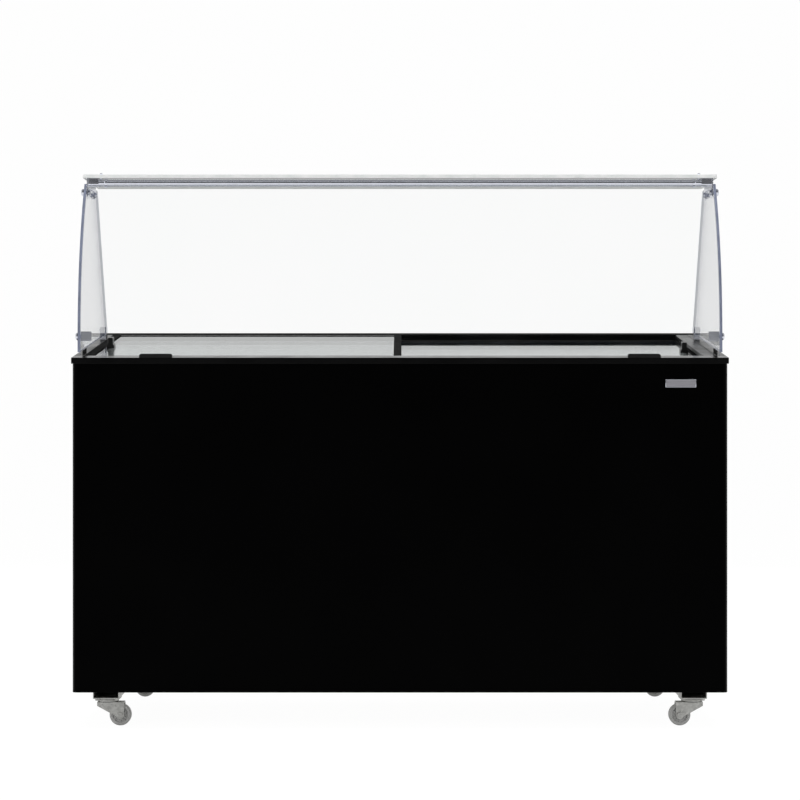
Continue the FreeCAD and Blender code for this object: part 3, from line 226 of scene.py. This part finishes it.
def glass(name, tint, reflection, rough=0.012, smear=1.0, ior=1.5):
    """Thin clear glass with a reflection and a faint smeared film."""
    m = Material(name)
    back = m.node("ShaderNodeNewGeometry", socket="Backfacing")
    fresnel = m.node("ShaderNodeFresnel",
                     {"IOR": m.span(back, over=(0.0, 1.0), to=(ior, 1.0 / ior))})
    haze = m.maths("MULTIPLY", m.span(m.noise(scale=5.5, detail=7, rough=0.6),
                                      over=(0.5, 0.8), to=(0.0, 0.018)), smear)
    colour = m.mix(m.span(m.noise(scale=2.0, detail=3)), tint, scaled(tint, 1.006))
    clear = m.node("ShaderNodeBsdfTransparent", {"Color": colour})
    ripple = m.bump(m.noise(scale=3.0, detail=1), strength=0.04, distance=0.002)
    gloss_rough = m.maths("ADD", m.maths("MULTIPLY", haze, 3.0), rough)
    gloss = m.node("ShaderNodeBsdfGlossy",
                   {"Color": reflection, "Roughness": gloss_rough, "Normal": ripple})
    film = m.node("ShaderNodeBsdfDiffuse", {"Color": (0.85, 0.87, 0.87)})
    pane = m.node("ShaderNodeMixShader", {0: fresnel, 1: clear, 2: gloss})
    return m.finish(m.node("ShaderNodeMixShader", {0: haze, 1: pane, 2: film}))


# Edge faces of a glass pane over a ground-glass roughness. The colour given is painted light:
# dark for painted shade, pale for a painted highlight.
def glass_edge(name, colour):
    m = Material(name)
    grind = m.noise(scale=700, detail=3, rough=0.6, vector=m.stretch((1, 1, 0.2)))
    mottled = m.mix(m.span(m.noise(scale=30)), colour, scaled(colour, 1.5))
    return m.principled(Base_Color=mottled, Roughness=m.span(grind, to=(0.12, 0.3)),
                        Specular_IOR_Level=0.6,
                        Normal=m.bump(grind, strength=0.2, distance=0.00005))


SLOTS = {
    "black_painted_steel": black_paint(),
    "zinc_steel": metal("zinc_plate", dark=(0.46, 0.46, 0.44), light=(0.58, 0.58, 0.56),
                        rough=0.42, spangle=0.5),
    "foam": foam(),
    "white_liner": white_sheet(),
    "copper": metal("drawn_copper", dark=(0.62, 0.28, 0.15), light=(0.80, 0.42, 0.26),
                    rough=0.26, tarnish=(0.20, 0.10, 0.06)),
    "black_enamel": plastic("black_enamel", dark=grey(0.006), light=grey(0.012), rough=0.28,
                            grain=500, depth=0.0002, spec=0.5, wear=0.3),
    "rubber": plastic("black_rubber", dark=grey(0.010), light=(0.022, 0.021, 0.020),
                      rough=0.72, grain=1400, depth=0.00015, spec=0.25),
    "fin_aluminium": metal("fin_aluminium", dark=(0.55, 0.56, 0.58), light=(0.74, 0.75, 0.77),
                           rough=0.34, brush=(1, 1, 0.1), tarnish=(0.36, 0.35, 0.33)),
    "motor_steel": plastic("grey_motor_enamel", dark=(0.10, 0.105, 0.11),
                           light=(0.15, 0.155, 0.16), rough=0.42, grain=600, depth=0.00015,
                           spec=0.5, wear=0.5),
    "blade_aluminium": metal("pressed_aluminium", dark=(0.60, 0.60, 0.61),
                             light=(0.76, 0.76, 0.77), rough=0.30, brush=(1, 0.1, 1)),
    "black_plastic": plastic("black_abs", dark=(0.0016, 0.0016, 0.0017),
                             light=(0.0030, 0.0030, 0.0031), rough=0.30, grain=1500,
                             depth=0.00006, spec=0.30, wear=0.12),
    "lamp_plastic": plastic("green_lens", dark=(0.02, 0.28, 0.05), light=(0.04, 0.40, 0.09),
                            rough=0.14, grain=300, depth=0.00003, spec=0.6),
    "white_plastic": plastic("white_abs", dark=(0.68, 0.68, 0.66), light=(0.78, 0.78, 0.76),
                             rough=0.4, grain=900, depth=0.00008, spec=0.4),
    "badge_metal": metal("satin_badge", dark=(0.33, 0.325, 0.355), light=(0.44, 0.43, 0.47),
                         rough=0.36, brush=(0.05, 1, 1), scale=900.0),
    "polished_steel": metal("polished_steel", dark=(0.66, 0.68, 0.76),
                            light=(0.76, 0.78, 0.84), rough=0.16, brush=(0.04, 1, 1),
                            scale=500.0, depth=0.00001),
    "grey_nylon": plastic("grey_nylon", dark=(0.42, 0.42, 0.41), light=(0.52, 0.52, 0.51),
                          rough=0.45, grain=700, depth=0.00012, spec=0.4, wear=0.3),
}
fascia = plastic("fascia_abs", dark=(0.008, 0.008, 0.0085), light=(0.012, 0.012, 0.0125),
                 rough=0.38, grain=1300, depth=0.0001, spec=0.5, wear=0.2)
matt_black = plastic("matt_black_bar", dark=(0.0010, 0.0010, 0.0011),
                     light=(0.0020, 0.0020, 0.0021), rough=0.66, grain=1500, depth=0.0001,
                     spec=0.015, wear=0.05)
gloss_ledge = plastic("smooth_black_ledge", dark=(0.0016, 0.0016, 0.0017),
                      light=(0.0028, 0.0028, 0.0029), rough=0.16, grain=1500, depth=0.00002,
                      spec=0.10, wear=0.1)
guard_glass = glass("guard_glass", tint=(0.994, 0.998, 0.996),
                    reflection=(0.34, 0.35, 0.355), smear=0.3, ior=1.3)
side_glass = glass("side_glass", tint=(0.972, 0.975, 0.976), reflection=(0.97, 0.97, 0.98),
                   smear=0.4)
lid_glass = glass("lid_glass", tint=(0.90, 0.915, 0.91), reflection=(0.94, 0.95, 0.95),
                  rough=0.03)
# Painted shade: a dark blue line on the glass edges seen from the front. Painted highlight: a
# pale line on the top glass's edges and on the front glass's top and bottom edges.
painted_dark_edge = glass_edge("painted_dark_glass_edge", colour=(0.17, 0.19, 0.26))
painted_pale_edge = glass_edge("painted_pale_glass_edge", colour=(0.86, 0.89, 0.88))

# Nodes that don't take the material of their slot.
BY_NAME = {
    "rear_rim": matt_black, "slide_tracks": matt_black, "front_rim": gloss_ledge,
    "control_panel": fascia, "side_glasses": side_glass,
    "front_glass": guard_glass, "top_glass": guard_glass,
}
BY_ENDING = {"_end_bars": matt_black, "_lid_glass": lid_glass}


def assign_materials():
    slot_of = {part["node"]: part["material_slot"] for part in frame["record"]["subparts"]}
    for name, obj in nodes.items():
        material = BY_NAME.get(name, SLOTS.get(slot_of.get(name)))
        for ending, other in BY_ENDING.items():
            if name.endswith(ending):
                material = other
        obj.data.materials.clear()
        obj.data.materials.append(material)


def edge_slot(name, mesh, face, low, high):
    """0 for the pane, 1 for its edge, 2 for the front glass's top and bottom edges. The edge
    slots take painted shade and painted highlight colours.
    """
    normal = face.normal
    if name == "side_glasses":
        return int(abs(normal.x) < 0.7)
    if name == "top_glass":
        return int(abs(normal.z) < 0.7)
    if name == "front_glass":
        if abs(normal.x) > 0.7:
            return 1
        heights = [mesh.vertices[i].co.z for i in face.vertices]
        at_end = min(heights) > high.z - 0.004 or max(heights) < low.z + 0.001
        # an x component of exactly 0.7 is not a top or bottom edge
        return (2 if abs(normal.x) < 0.7 else 1) if at_end else 0
    return int(abs(normal.z) < 0.8)


def assign_glass_edges():
    for name in ("side_glasses", "front_glass", "top_glass", "left_lid_glass",
                 "right_lid_glass"):
        mesh = nodes[name].data
        low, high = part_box(name)
        # Slot 1 gets the painted dark edge, or the painted pale edge on the top glass. Slot 2
        # gets the painted pale edge.
        mesh.materials.append(painted_pale_edge if name == "top_glass" else painted_dark_edge)
        mesh.materials.append(painted_pale_edge)
        for face in mesh.polygons:
            face.material_index = edge_slot(name, mesh, face, low, high)


# Edge bevel width: the rigid frame parts that get it.
SOFT_EDGES = {
    0.0009: ("front_rim", "rear_rim", "end_rims"),
    0.0008: ("right_end_rail", "left_lid_pull", "right_lid_pull"),
    0.0007: ("left_lid_end_bars", "right_lid_end_bars"),
    0.0006: ("front_glass_clips", "top_glass"),
    0.0005: ("caster_rails", "rear_glass_clamps"),
    0.0004: ("control_panel", "side_brackets", "front_corner_brackets", "drain_outlet",
             "tube_connectors"),
    0.0003: ("caster_plates", "fan_motor", "rocker_switch"),
    0.0002: ("badge",),
}


def soften_edges():
    for width, names in SOFT_EDGES.items():
        for name in names:
            nodes[name].modifiers.new("weld", "WELD").merge_threshold = 1e-6
            bevel = nodes[name].modifiers.new("soft", "BEVEL")
            bevel.width = width
            bevel.segments = 2
            bevel.limit_method = "ANGLE"
            bevel.angle_limit = math.radians(38)
            bevel.harden_normals = True


# ---------------------------------------------------------------- mesh tools


def add_object(name, data):
    obj = bpy.data.objects.new(name, data)
    scene.collection.objects.link(obj)
    return obj


def make(name, mesh, body, slot, smooth=True, angle=35):
    """Turn a bmesh into an object that rides on body; edges over angle stay sharp."""
    bmesh.ops.recalc_face_normals(mesh, faces=mesh.faces)
    data = bpy.data.meshes.new(name)
    for face in mesh.faces:
        face.smooth = smooth
    for edge in mesh.edges:
        if len(edge.link_faces) == 2 and edge.calc_face_angle(0) > math.radians(angle):
            edge.smooth = False
    mesh.to_mesh(data)
    mesh.free()
    obj = add_object(name, data)
    data.materials.append(SLOTS[slot])
    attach(obj, body)
    return obj


def circle(count):
    return [2 * math.pi * i / count for i in range(count)]


def bridge(mesh, rings):
    for ring, following in zip(rings, rings[1:]):
        for i in range(len(ring)):
            j = (i + 1) % len(ring)
            mesh.faces.new((ring[i], ring[j], following[j], following[i]))


def loft(mesh, sections):
    """Skin a row of closed sections, given as points, and cap both ends."""
    rings = [[mesh.verts.new(point) for point in section] for section in sections]
    bridge(mesh, rings)
    mesh.faces.new(rings[0])
    mesh.faces.new(list(reversed(rings[-1])))


def lathe(mesh, profile, at, axis, segments=32):
    """Turned form; profile is (radius, height along axis), radius 0 closing to a point."""
    turn = Vector((0, 0, 1)).rotation_difference(Vector(axis)).to_matrix()
    rings = []
    for radius, height in profile:
        angles = circle(segments) if radius else [0]
        rings.append([
            mesh.verts.new(Vector(at) + turn @ Vector(
                (radius * math.cos(a), radius * math.sin(a), height))) for a in angles])
    for ring, following in zip(rings, rings[1:]):
        for i in range(segments):
            j = (i + 1) % segments
            if len(ring) == 1:
                mesh.faces.new((ring[0], following[i], following[j]))
            elif len(following) == 1:
                mesh.faces.new((ring[i], following[0], ring[j]))
            else:
                mesh.faces.new((ring[i], following[i], following[j], ring[j]))


BLOCK_FACES = ((0, 1, 3, 2), (4, 6, 7, 5), (0, 4, 5, 1), (2, 3, 7, 6), (0, 2, 6, 4), (1, 5, 7, 3))


def block(mesh, x_range, y_range, z_range, bevel=0.0, turn=None, at=None):
    """Box between the given limits, turned and then moved to at."""
    points = [Vector((x, y, z)) for x in x_range for y in y_range for z in z_range]
    if turn is not None:
        points = [at + turn @ point for point in points]
    corners = [mesh.verts.new(point) for point in points]
    faces = [mesh.faces.new([corners[i] for i in face]) for face in BLOCK_FACES]
    bmesh.ops.recalc_face_normals(mesh, faces=faces)
    if bevel:
        edges = list({edge for face in faces for edge in face.edges})
        bmesh.ops.bevel(mesh, geom=edges, offset=bevel, segments=2, profile=0.5,
                        affect="EDGES")


# Screw rings: radius and height as shares of the head's, and whether it is the cross.
SCREW_RINGS = ((1, 0, False), (1, 0.45, False), (0.82, 0.82, False), (0.62, 1, False),
               (0.36, 1, True), (0.30, 0.45, True))


def screw(mesh, x, face_y, z, radius=0.0032, height=0.0017, spin=0.0):
    """Pan-head screw with a cross recess, facing the rear."""
    rings = []
    for radius_share, height_share, cross in SCREW_RINGS:
        ring = []
        for a in circle(24):
            star = 0.45 + abs(math.cos(2 * (a + spin))) ** 5 if cross else 1.0
            reach = radius * radius_share * star
            ring.append(mesh.verts.new((x + reach * math.cos(a),
                                        face_y - SINK + height * height_share,
                                        z - reach * math.sin(a))))
        rings.append(ring)
    bridge(mesh, rings)
    mesh.faces.new(rings[-1])
    mesh.faces.new(list(reversed(rings[0])))


# ---------------------------------------------------------------- machine bay
TUBE_RADIUS, TUBE_PITCH, TUBE_Z = 0.004, 0.03, 0.118


def condenser_fins(low, high):
    """A hundred thin zigzag fins between two end plates."""
    pitch, half_thick, ripple, rows = 0.0023, 0.0001, 0.00035, 9
    bottom, top = 0.1015, 0.3225
    front, rear = low.y + 0.0011, high.y - 0.0011
    mesh = bmesh.new()
    for i in range(100):
        sections = []
        for k in range(rows):
            x = FAN_X - 0.1145 + i * pitch + ripple * (1 if k % 2 else -1)
            y = front + 0.003 + (rear - front - 0.006) * k / (rows - 1)
            left, right = x - half_thick, x + half_thick
            sections.append([(left, y, bottom), (left, y, top), (right, y, top),
                             (right, y, bottom)])
        loft(mesh, sections)
    for inner, outer in ((-0.118, -0.1165), (0.1165, 0.118)):
        block(mesh, (FAN_X + inner, FAN_X + outer), (front - 0.0008, rear + 0.0008),
              (0.0985, 0.3255), bevel=0.0003)
    fins = make("condenser_fins", mesh, "cabinet", "fin_aluminium", smooth=False)
    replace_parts(fins, "condenser")


def condenser_tubes(low, high):
    """Seven straight tubes joined by six return bends at alternate ends."""
    half_length, bend_x, bend_radius = 0.121, 0.1205, TUBE_PITCH / 2
    y = (low.y + high.y) / 2
    mesh = bmesh.new()
    for i in range(7):
        lathe(mesh, [(0, 0), (TUBE_RADIUS, 0), (TUBE_RADIUS, 2 * half_length),
                     (0, 2 * half_length)],
              (FAN_X - half_length, y, TUBE_Z + i * TUBE_PITCH), (1, 0, 0), 16)
    for i in range(6):
        side = 1 if i % 2 == 0 else -1
        centre = Vector((FAN_X + side * bend_x, y, TUBE_Z + i * TUBE_PITCH + bend_radius))
        sections = []
        for k in range(13):
            t = -math.pi / 2 + math.pi * k / 12
            out = Vector((side * math.cos(t), 0, math.sin(t)))
            sections.append([
                centre + out * (bend_radius + TUBE_RADIUS * math.cos(a))
                + Vector((0, TUBE_RADIUS * math.sin(a), 0)) for a in circle(12)])
        loft(mesh, sections)
    make("condenser_tubes", mesh, "cabinet", "copper")


def fan_vane(mesh, angle):
    """One cambered, twisted vane: an upper and a lower skin closed round the rim."""
    root, tip, half_thick, steps = 0.0185, 0.0895, 0.0006, 8
    grid = []
    for i in range(steps + 1):
        share = i / steps
        radius = root + (tip - root) * share
        half_angle = 0.26 + 0.20 * math.sin(math.pi * share ** 0.8)
        row = []
        for j in range(steps + 1):
            across = j / steps * 2 - 1
            a = angle + across * half_angle + 0.10 * share ** 2
            pitch = 0.0062 * across + 0.0014 * (1 - across * across)
            row.append((FAN_X + radius * math.cos(a), FAN_Y + pitch,
                        FAN_Z + radius * math.sin(a)))
        grid.append(row)
    rear, front = [[[mesh.verts.new((x, y + shift, z)) for x, y, z in row] for row in grid]
                   for shift in (half_thick, -half_thick)]
    for i in range(steps):
        for j in range(steps):
            mesh.faces.new((rear[i][j], rear[i][j + 1], rear[i + 1][j + 1], rear[i + 1][j]))
            mesh.faces.new((front[i][j], front[i + 1][j], front[i + 1][j + 1],
                            front[i][j + 1]))
    rim = ([(i, 0) for i in range(steps + 1)] + [(steps, j) for j in range(1, steps + 1)]
           + [(i, steps) for i in range(steps - 1, -1, -1)]
           + [(0, j) for j in range(steps - 1, 0, -1)])
    for (i, j), (k, l) in zip(rim, rim[1:] + rim[:1]):
        mesh.faces.new((rear[i][j], rear[k][l], front[k][l], front[i][j]))


def fan_rotor():
    mesh = bmesh.new()
    hub = [(0.0031, -0.0079), (0.012, -0.0079), (0.0195, -0.006), (0.0199, 0.006),
           (0.013, 0.0079), (0.0031, 0.0079), (0.0031, -0.0079)]
    lathe(mesh, hub, (FAN_X, FAN_Y, FAN_Z), (0, 1, 0), 40)
    for angle in circle(5):
        fan_vane(mesh, angle)
    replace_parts(make("fan_rotor", mesh, "fan", "blade_aluminium"), "fan_blade")


def compressor_foot_nuts():
    """A six-sided form at each compressor foot."""
    profile = [(0, 0.1112), (0.0045, 0.1112), (0.0045, 0.1128), (0.0075, 0.1128),
               (0.0075, 0.1136), (0, 0.1136)]
    mesh = bmesh.new()
    for x in (0.537, 0.687):
        for y in (-0.0431, 0.0369):
            lathe(mesh, profile, (x, y, 0), (0, 0, 1), 6)
    make("compressor_foot_nuts", mesh, "cabinet", "zinc_steel")


# ---------------------------------------------------------------- rear


def louvre_hoods(grille_face):
    """Two columns of nineteen hoods that swell from the grille between their ends."""
    width, pitch, lowest, steps = 0.120, 0.012, 0.1102, 12
    mesh = bmesh.new()
    for row in range(19):
        z = lowest + pitch * row
        for left in (0.4760, 0.6120):
            sections = []
            for k in range(steps + 1):
                u = k / steps
                lift = 0.0032 * min(1.0, min(u, 1 - u) * steps / 1.2) ** 0.7 + 0.0002
                # (y from the grille face, z from the hood line)
                outline = ((-0.0006, 0.0006), (lift * 0.75, -0.0010), (lift, -0.0040),
                           (lift - 0.0006, -0.0040), (lift * 0.75 - 0.0008, -0.0016),
                           (-0.0006, -0.0002))
                sections.append([(left + width * u, grille_face + dy, z + dz)
                                 for dy, dz in outline])
            loft(mesh, sections)
    make("grille_louvre_hoods", mesh, "cabinet", "black_painted_steel", angle=50)


def rear_screws(grille_face, panel_face):
    mesh = bmesh.new()
    # round the grille, none at its centre
    for i, x in enumerate((0.468, 0.604, 0.740)):
        for j, z in enumerate((0.0945, 0.2155, 0.3365)):
            if (i, j) != (1, 1):
                screw(mesh, x, grille_face, z, spin=0.3 * i + 0.7 * j)
    # along the bottom and top of the rear
    for i in range(7):
        for z in (0.094, 0.885):
            screw(mesh, -0.735 + i * 0.1825, REAR_FACE, z, spin=0.5 * i + z)
    # up both sides, except the lowest on the right
    for i, z in enumerate((0.25, 0.41, 0.57, 0.73)):
        for x in (-0.742, 0.742):
            if i > 0 or x < 0:
                screw(mesh, x, REAR_FACE, z, spin=0.9 * i)
    # at the control panel's corners
    for i, x in enumerate((0.470, 0.738)):
        for z in (0.352, 0.388):
            screw(mesh, x, panel_face, z, radius=0.0027, height=0.0015, spin=i + z * 9)
    make("rear_screws", mesh, "cabinet", "zinc_steel")


def dial_scale(panel_face):
    """Eleven raised ticks and a thin arc round the thermostat knob."""
    start, sweep, arc_steps = -150, 300, 28
    tick_radius, inner, outer = 0.0188, 0.0183, 0.01865
    base, crown = panel_face - SINK, panel_face + 0.0003
    mesh = bmesh.new()
    for i in range(11):
        turn = Matrix.Rotation(math.radians(start + 30 * i), 3, "Y")
        length = 0.0036 if i % 5 == 0 else 0.0022
        block(mesh, (-0.0004, 0.0004), (0, 0.0004), (tick_radius, tick_radius + length),
              turn=turn, at=Vector((KNOB_X, base, KNOB_Z)))
    for i in range(arc_steps):
        loft(mesh, [
            [(KNOB_X + r * math.sin(a), y, KNOB_Z + r * math.cos(a))
             for r, y in ((inner, base), (outer, base), (outer, crown), (inner, crown))]
            for a in (math.radians(start + sweep * k / arc_steps) for k in (i, i + 1))])
    make("dial_scale", mesh, "cabinet", "white_plastic", smooth=False)


def lamp_bezels(panel_face):
    profile = [(0.0062, -0.0002), (0.0092, -0.0002), (0.0088, 0.0012), (0.0074, 0.0018),
               (0.0062, 0.0014), (0.0062, -0.0002)]
    mesh = bmesh.new()
    for x in (0.590, 0.566):
        lathe(mesh, profile, (x, panel_face, KNOB_Z), (0, 1, 0), 36)
    make("lamp_bezels", mesh, "cabinet", "polished_steel")


def knob_ribs():
    mesh = bmesh.new()
    for a in circle(30):
        block(mesh, (-0.0005, 0.0005), (0.0092, 0.0158), (0.0143, 0.0161), bevel=0.0002,
              turn=Matrix.Rotation(a, 3, "Y"), at=Vector((KNOB_X, KNOB_Y, KNOB_Z)))
    make("thermostat_knob_ribs", mesh, "knob", "black_plastic")


def cord_ribs():
    """Five ribs across the plug and four shrinking strain-relief rings."""
    low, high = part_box("power_cord")
    mesh = bmesh.new()
    for i in range(5):
        z = 0.222 + i * 0.0042
        block(mesh, (0.3503, 0.3897), (low.y + 0.0005, min(high.y, low.y + 0.0145)),
              (z, z + 0.0018), bevel=0.0005)
    ring_y = 0.32355 if low.y > 0.318 else 0.32065
    inner = 0.0036
    for i in range(4):
        outer = 0.0056 - 0.0004 * i
        lathe(mesh, [(inner, 0), (outer, 0.0004), (outer, 0.0020), (inner, 0.0024), (inner, 0)],
              (0.490, ring_y, 0.3575 - i * 0.0032), (0, 0, -1), 24)
    make("cord_ribs", mesh, "cabinet", "rubber")


# ---------------------------------------------------------------- front and top


def badge_border():
    low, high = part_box("badge")
    width = 0.0012
    inner_z = (low.z + width, high.z - width)
    mesh = bmesh.new()
    for x_range, z_range in (((low.x, high.x), (high.z - width, high.z)),
                             ((low.x, high.x), (low.z, low.z + width)),
                             ((low.x, low.x + width), inner_z),
                             ((high.x - width, high.x), inner_z)):
        block(mesh, x_range, (low.y - 0.00005, low.y + 0.0004), z_range, bevel=0.0001)
    make("badge_border", mesh, "cabinet", "polished_steel")


# Side, x range, height from the slope, and where the front and rear strips start
# along the slope. The right lid lies lower.
LID_SEALS = (
    ("left", (-0.7085, -0.0140), 0.0, (0.0600, 0.5895)),
    ("right", (0.0040, 0.6960), -0.0115, (0.0675, 0.5800)),
)


def lid_seals():
    slope = Matrix.Rotation(math.radians(6.5), 3, "X")
    slope_foot = Vector((0, -0.33315, 0.850))
    for side, x_range, level, starts in LID_SEALS:
        mesh = bmesh.new()
        for start in starts:
            block(mesh, x_range, (start, start + 0.0025), (level - 0.0031, level - 0.0019),
                  bevel=0.0004, turn=slope, at=slope_foot)
        make(side + "_lid_seal", mesh, side + "_lid", "rubber")


# ---------------------------------------------------------------- casters


def caster(tag, side, y):
    """Ball race about the swivel axis, and six short ribs at each face of the wheel."""
    swivel_x, wheel_x, race_radius = side * 0.676, side * 0.647, 0.0178
    mesh = bmesh.new()
    for a in circle(18):
        centre = (swivel_x + race_radius * math.cos(a), y + race_radius * math.sin(a), 0.0562)
        bmesh.ops.create_icosphere(mesh, subdivisions=1, radius=0.0013,
                                   matrix=Matrix.Translation(centre))
    make("caster_balls_" + tag, mesh, "swivel_" + tag, "polished_steel")

    mesh = bmesh.new()
    low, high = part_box("caster_wheel_" + tag)
    for outward, face_y in ((-1, low.y), (1, high.y)):
        for a in circle(6):
            block(mesh, (-0.0011, 0.0011), sorted((0, -outward * 0.0008)), (0.0085, 0.0165),
                  bevel=0.0003, turn=Matrix.Rotation(a, 3, "Y"),
                  at=Vector((wheel_x, face_y - outward * 0.0004, 0.025)))
    make("caster_spokes_" + tag, mesh, "wheel_" + tag, "grey_nylon")


# ---------------------------------------------------------------- studio


def studio_floor():
    """Wide floor, near white to the camera and a pale diffuse surface to other rays."""
    mesh = bmesh.new()
    bmesh.ops.create_grid(mesh, x_segments=8, y_segments=8, size=600.0)
    data = bpy.data.meshes.new("studio_floor")
    mesh.to_mesh(data)
    mesh.free()
    floor = add_object("studio_floor", data)
    m = Material("studio_floor")
    camera_ray = m.node("ShaderNodeLightPath", socket="Is Camera Ray")
    glossy_ray = m.node("ShaderNodeLightPath", socket="Is Glossy Ray")
    glow = m.node("ShaderNodeEmission", {"Color": (1.0, 1.0, 1.0), "Strength": 1.06})
    pale = m.mix(m.noise(scale=0.8, detail=2), grey(0.90), grey(0.92))
    matt = m.node("ShaderNodeBsdfDiffuse", {"Color": pale})
    seen = m.maths("MAXIMUM", camera_ray, m.maths("MULTIPLY", glossy_ray, 0.65))
    matt_share = m.span(seen, over=(0.0, 1.0), to=(1.0, 0.10))
    data.materials.append(
        m.finish(m.node("ShaderNodeMixShader", {0: matt_share, 1: glow, 2: matt})))


def studio_world():
    """White to the camera; other rays see it dimmer at the front and overhead."""
    world = bpy.data.worlds.new("studio")
    scene.world = world
    shader = Shader(world, "ShaderNodeOutputWorld")
    backdrop = shader.node("ShaderNodeBackground", {0: (1, 1, 1), 1: 0.99})
    camera_ray = shader.node("ShaderNodeLightPath", socket="Is Camera Ray")
    direction = shader.node("ShaderNodeTexCoord", socket="Generated")
    rearward = shader.node("ShaderNodeSeparateXYZ", {0: direction}, "Y")
    upward = rearward.node.outputs["Z"]
    smooth = {"interpolation_type": "SMOOTHSTEP"}
    strength = shader.maths(
        "MULTIPLY", shader.span(rearward, over=(-0.60, 0.15), to=(0.13, 1.0), **smooth),
        shader.span(upward, over=(0.35, 0.95), to=(1.0, 0.5), **smooth))
    ambient = shader.node("ShaderNodeBackground", {1: strength})
    shader.finish(shader.node("ShaderNodeMixShader", {0: camera_ray, 1: ambient, 2: backdrop}))


def softbox(name, at, look, size, watts, glossy=True):
    light = bpy.data.lights.new(name, "AREA")
    light.shape = "RECTANGLE"
    light.size, light.size_y = size
    light.energy = watts
    obj = add_object(name, light)
    obj.location = at
    obj.rotation_euler = (Vector(look) - Vector(at)).to_track_quat("-Z", "Y").to_euler()
    obj.visible_glossy = glossy


def studio_camera():
    data = bpy.data.cameras.new("camera")
    data.lens = 106.6
    data.sensor_width = 36
    camera = add_object("camera", data)
    camera.location = (0, -5.750, 0.753)
    camera.rotation_euler = (math.pi / 2, 0, 0)
    scene.camera = camera
    scene.view_settings.view_transform = "Standard"
    scene.view_settings.look = "None"


# ---------------------------------------------------------------- build
assign_materials()
assign_glass_edges()
soften_edges()

condenser_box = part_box("condenser")
condenser_fins(*condenser_box)
condenser_tubes(*condenser_box)
fan_rotor()
compressor_foot_nuts()

grille_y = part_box("ventilation_grille")[1].y
panel_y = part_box("control_panel")[1].y
louvre_hoods(grille_y)
rear_screws(grille_y, panel_y)
dial_scale(panel_y)
lamp_bezels(panel_y)
knob_ribs()
cord_ribs()
badge_border()
lid_seals()
for end, caster_y in (("f", -0.26115), ("r", 0.27185)):
    caster(end + "l", -1, caster_y)
    caster(end + "r", 1, caster_y)

studio_floor()
studio_world()
softbox("overhead", at=(0, -0.3, 3.6), look=(0, 0, 0.6), size=(3.2, 2.4), watts=70, glossy=False)
softbox("front_left", at=(-3.4, -3.6, 2.4), look=(0, 0, 0.6), size=(1.6, 1.8), watts=55)
softbox("front_right", at=(3.4, -3.6, 2.2), look=(0, 0, 0.6), size=(1.4, 1.8), watts=45)
softbox("back_fill", at=(0.6, 4.2, 2.2), look=(0.2, 0, 0.5), size=(2.4, 1.6), watts=50,
        glossy=False)
studio_camera()
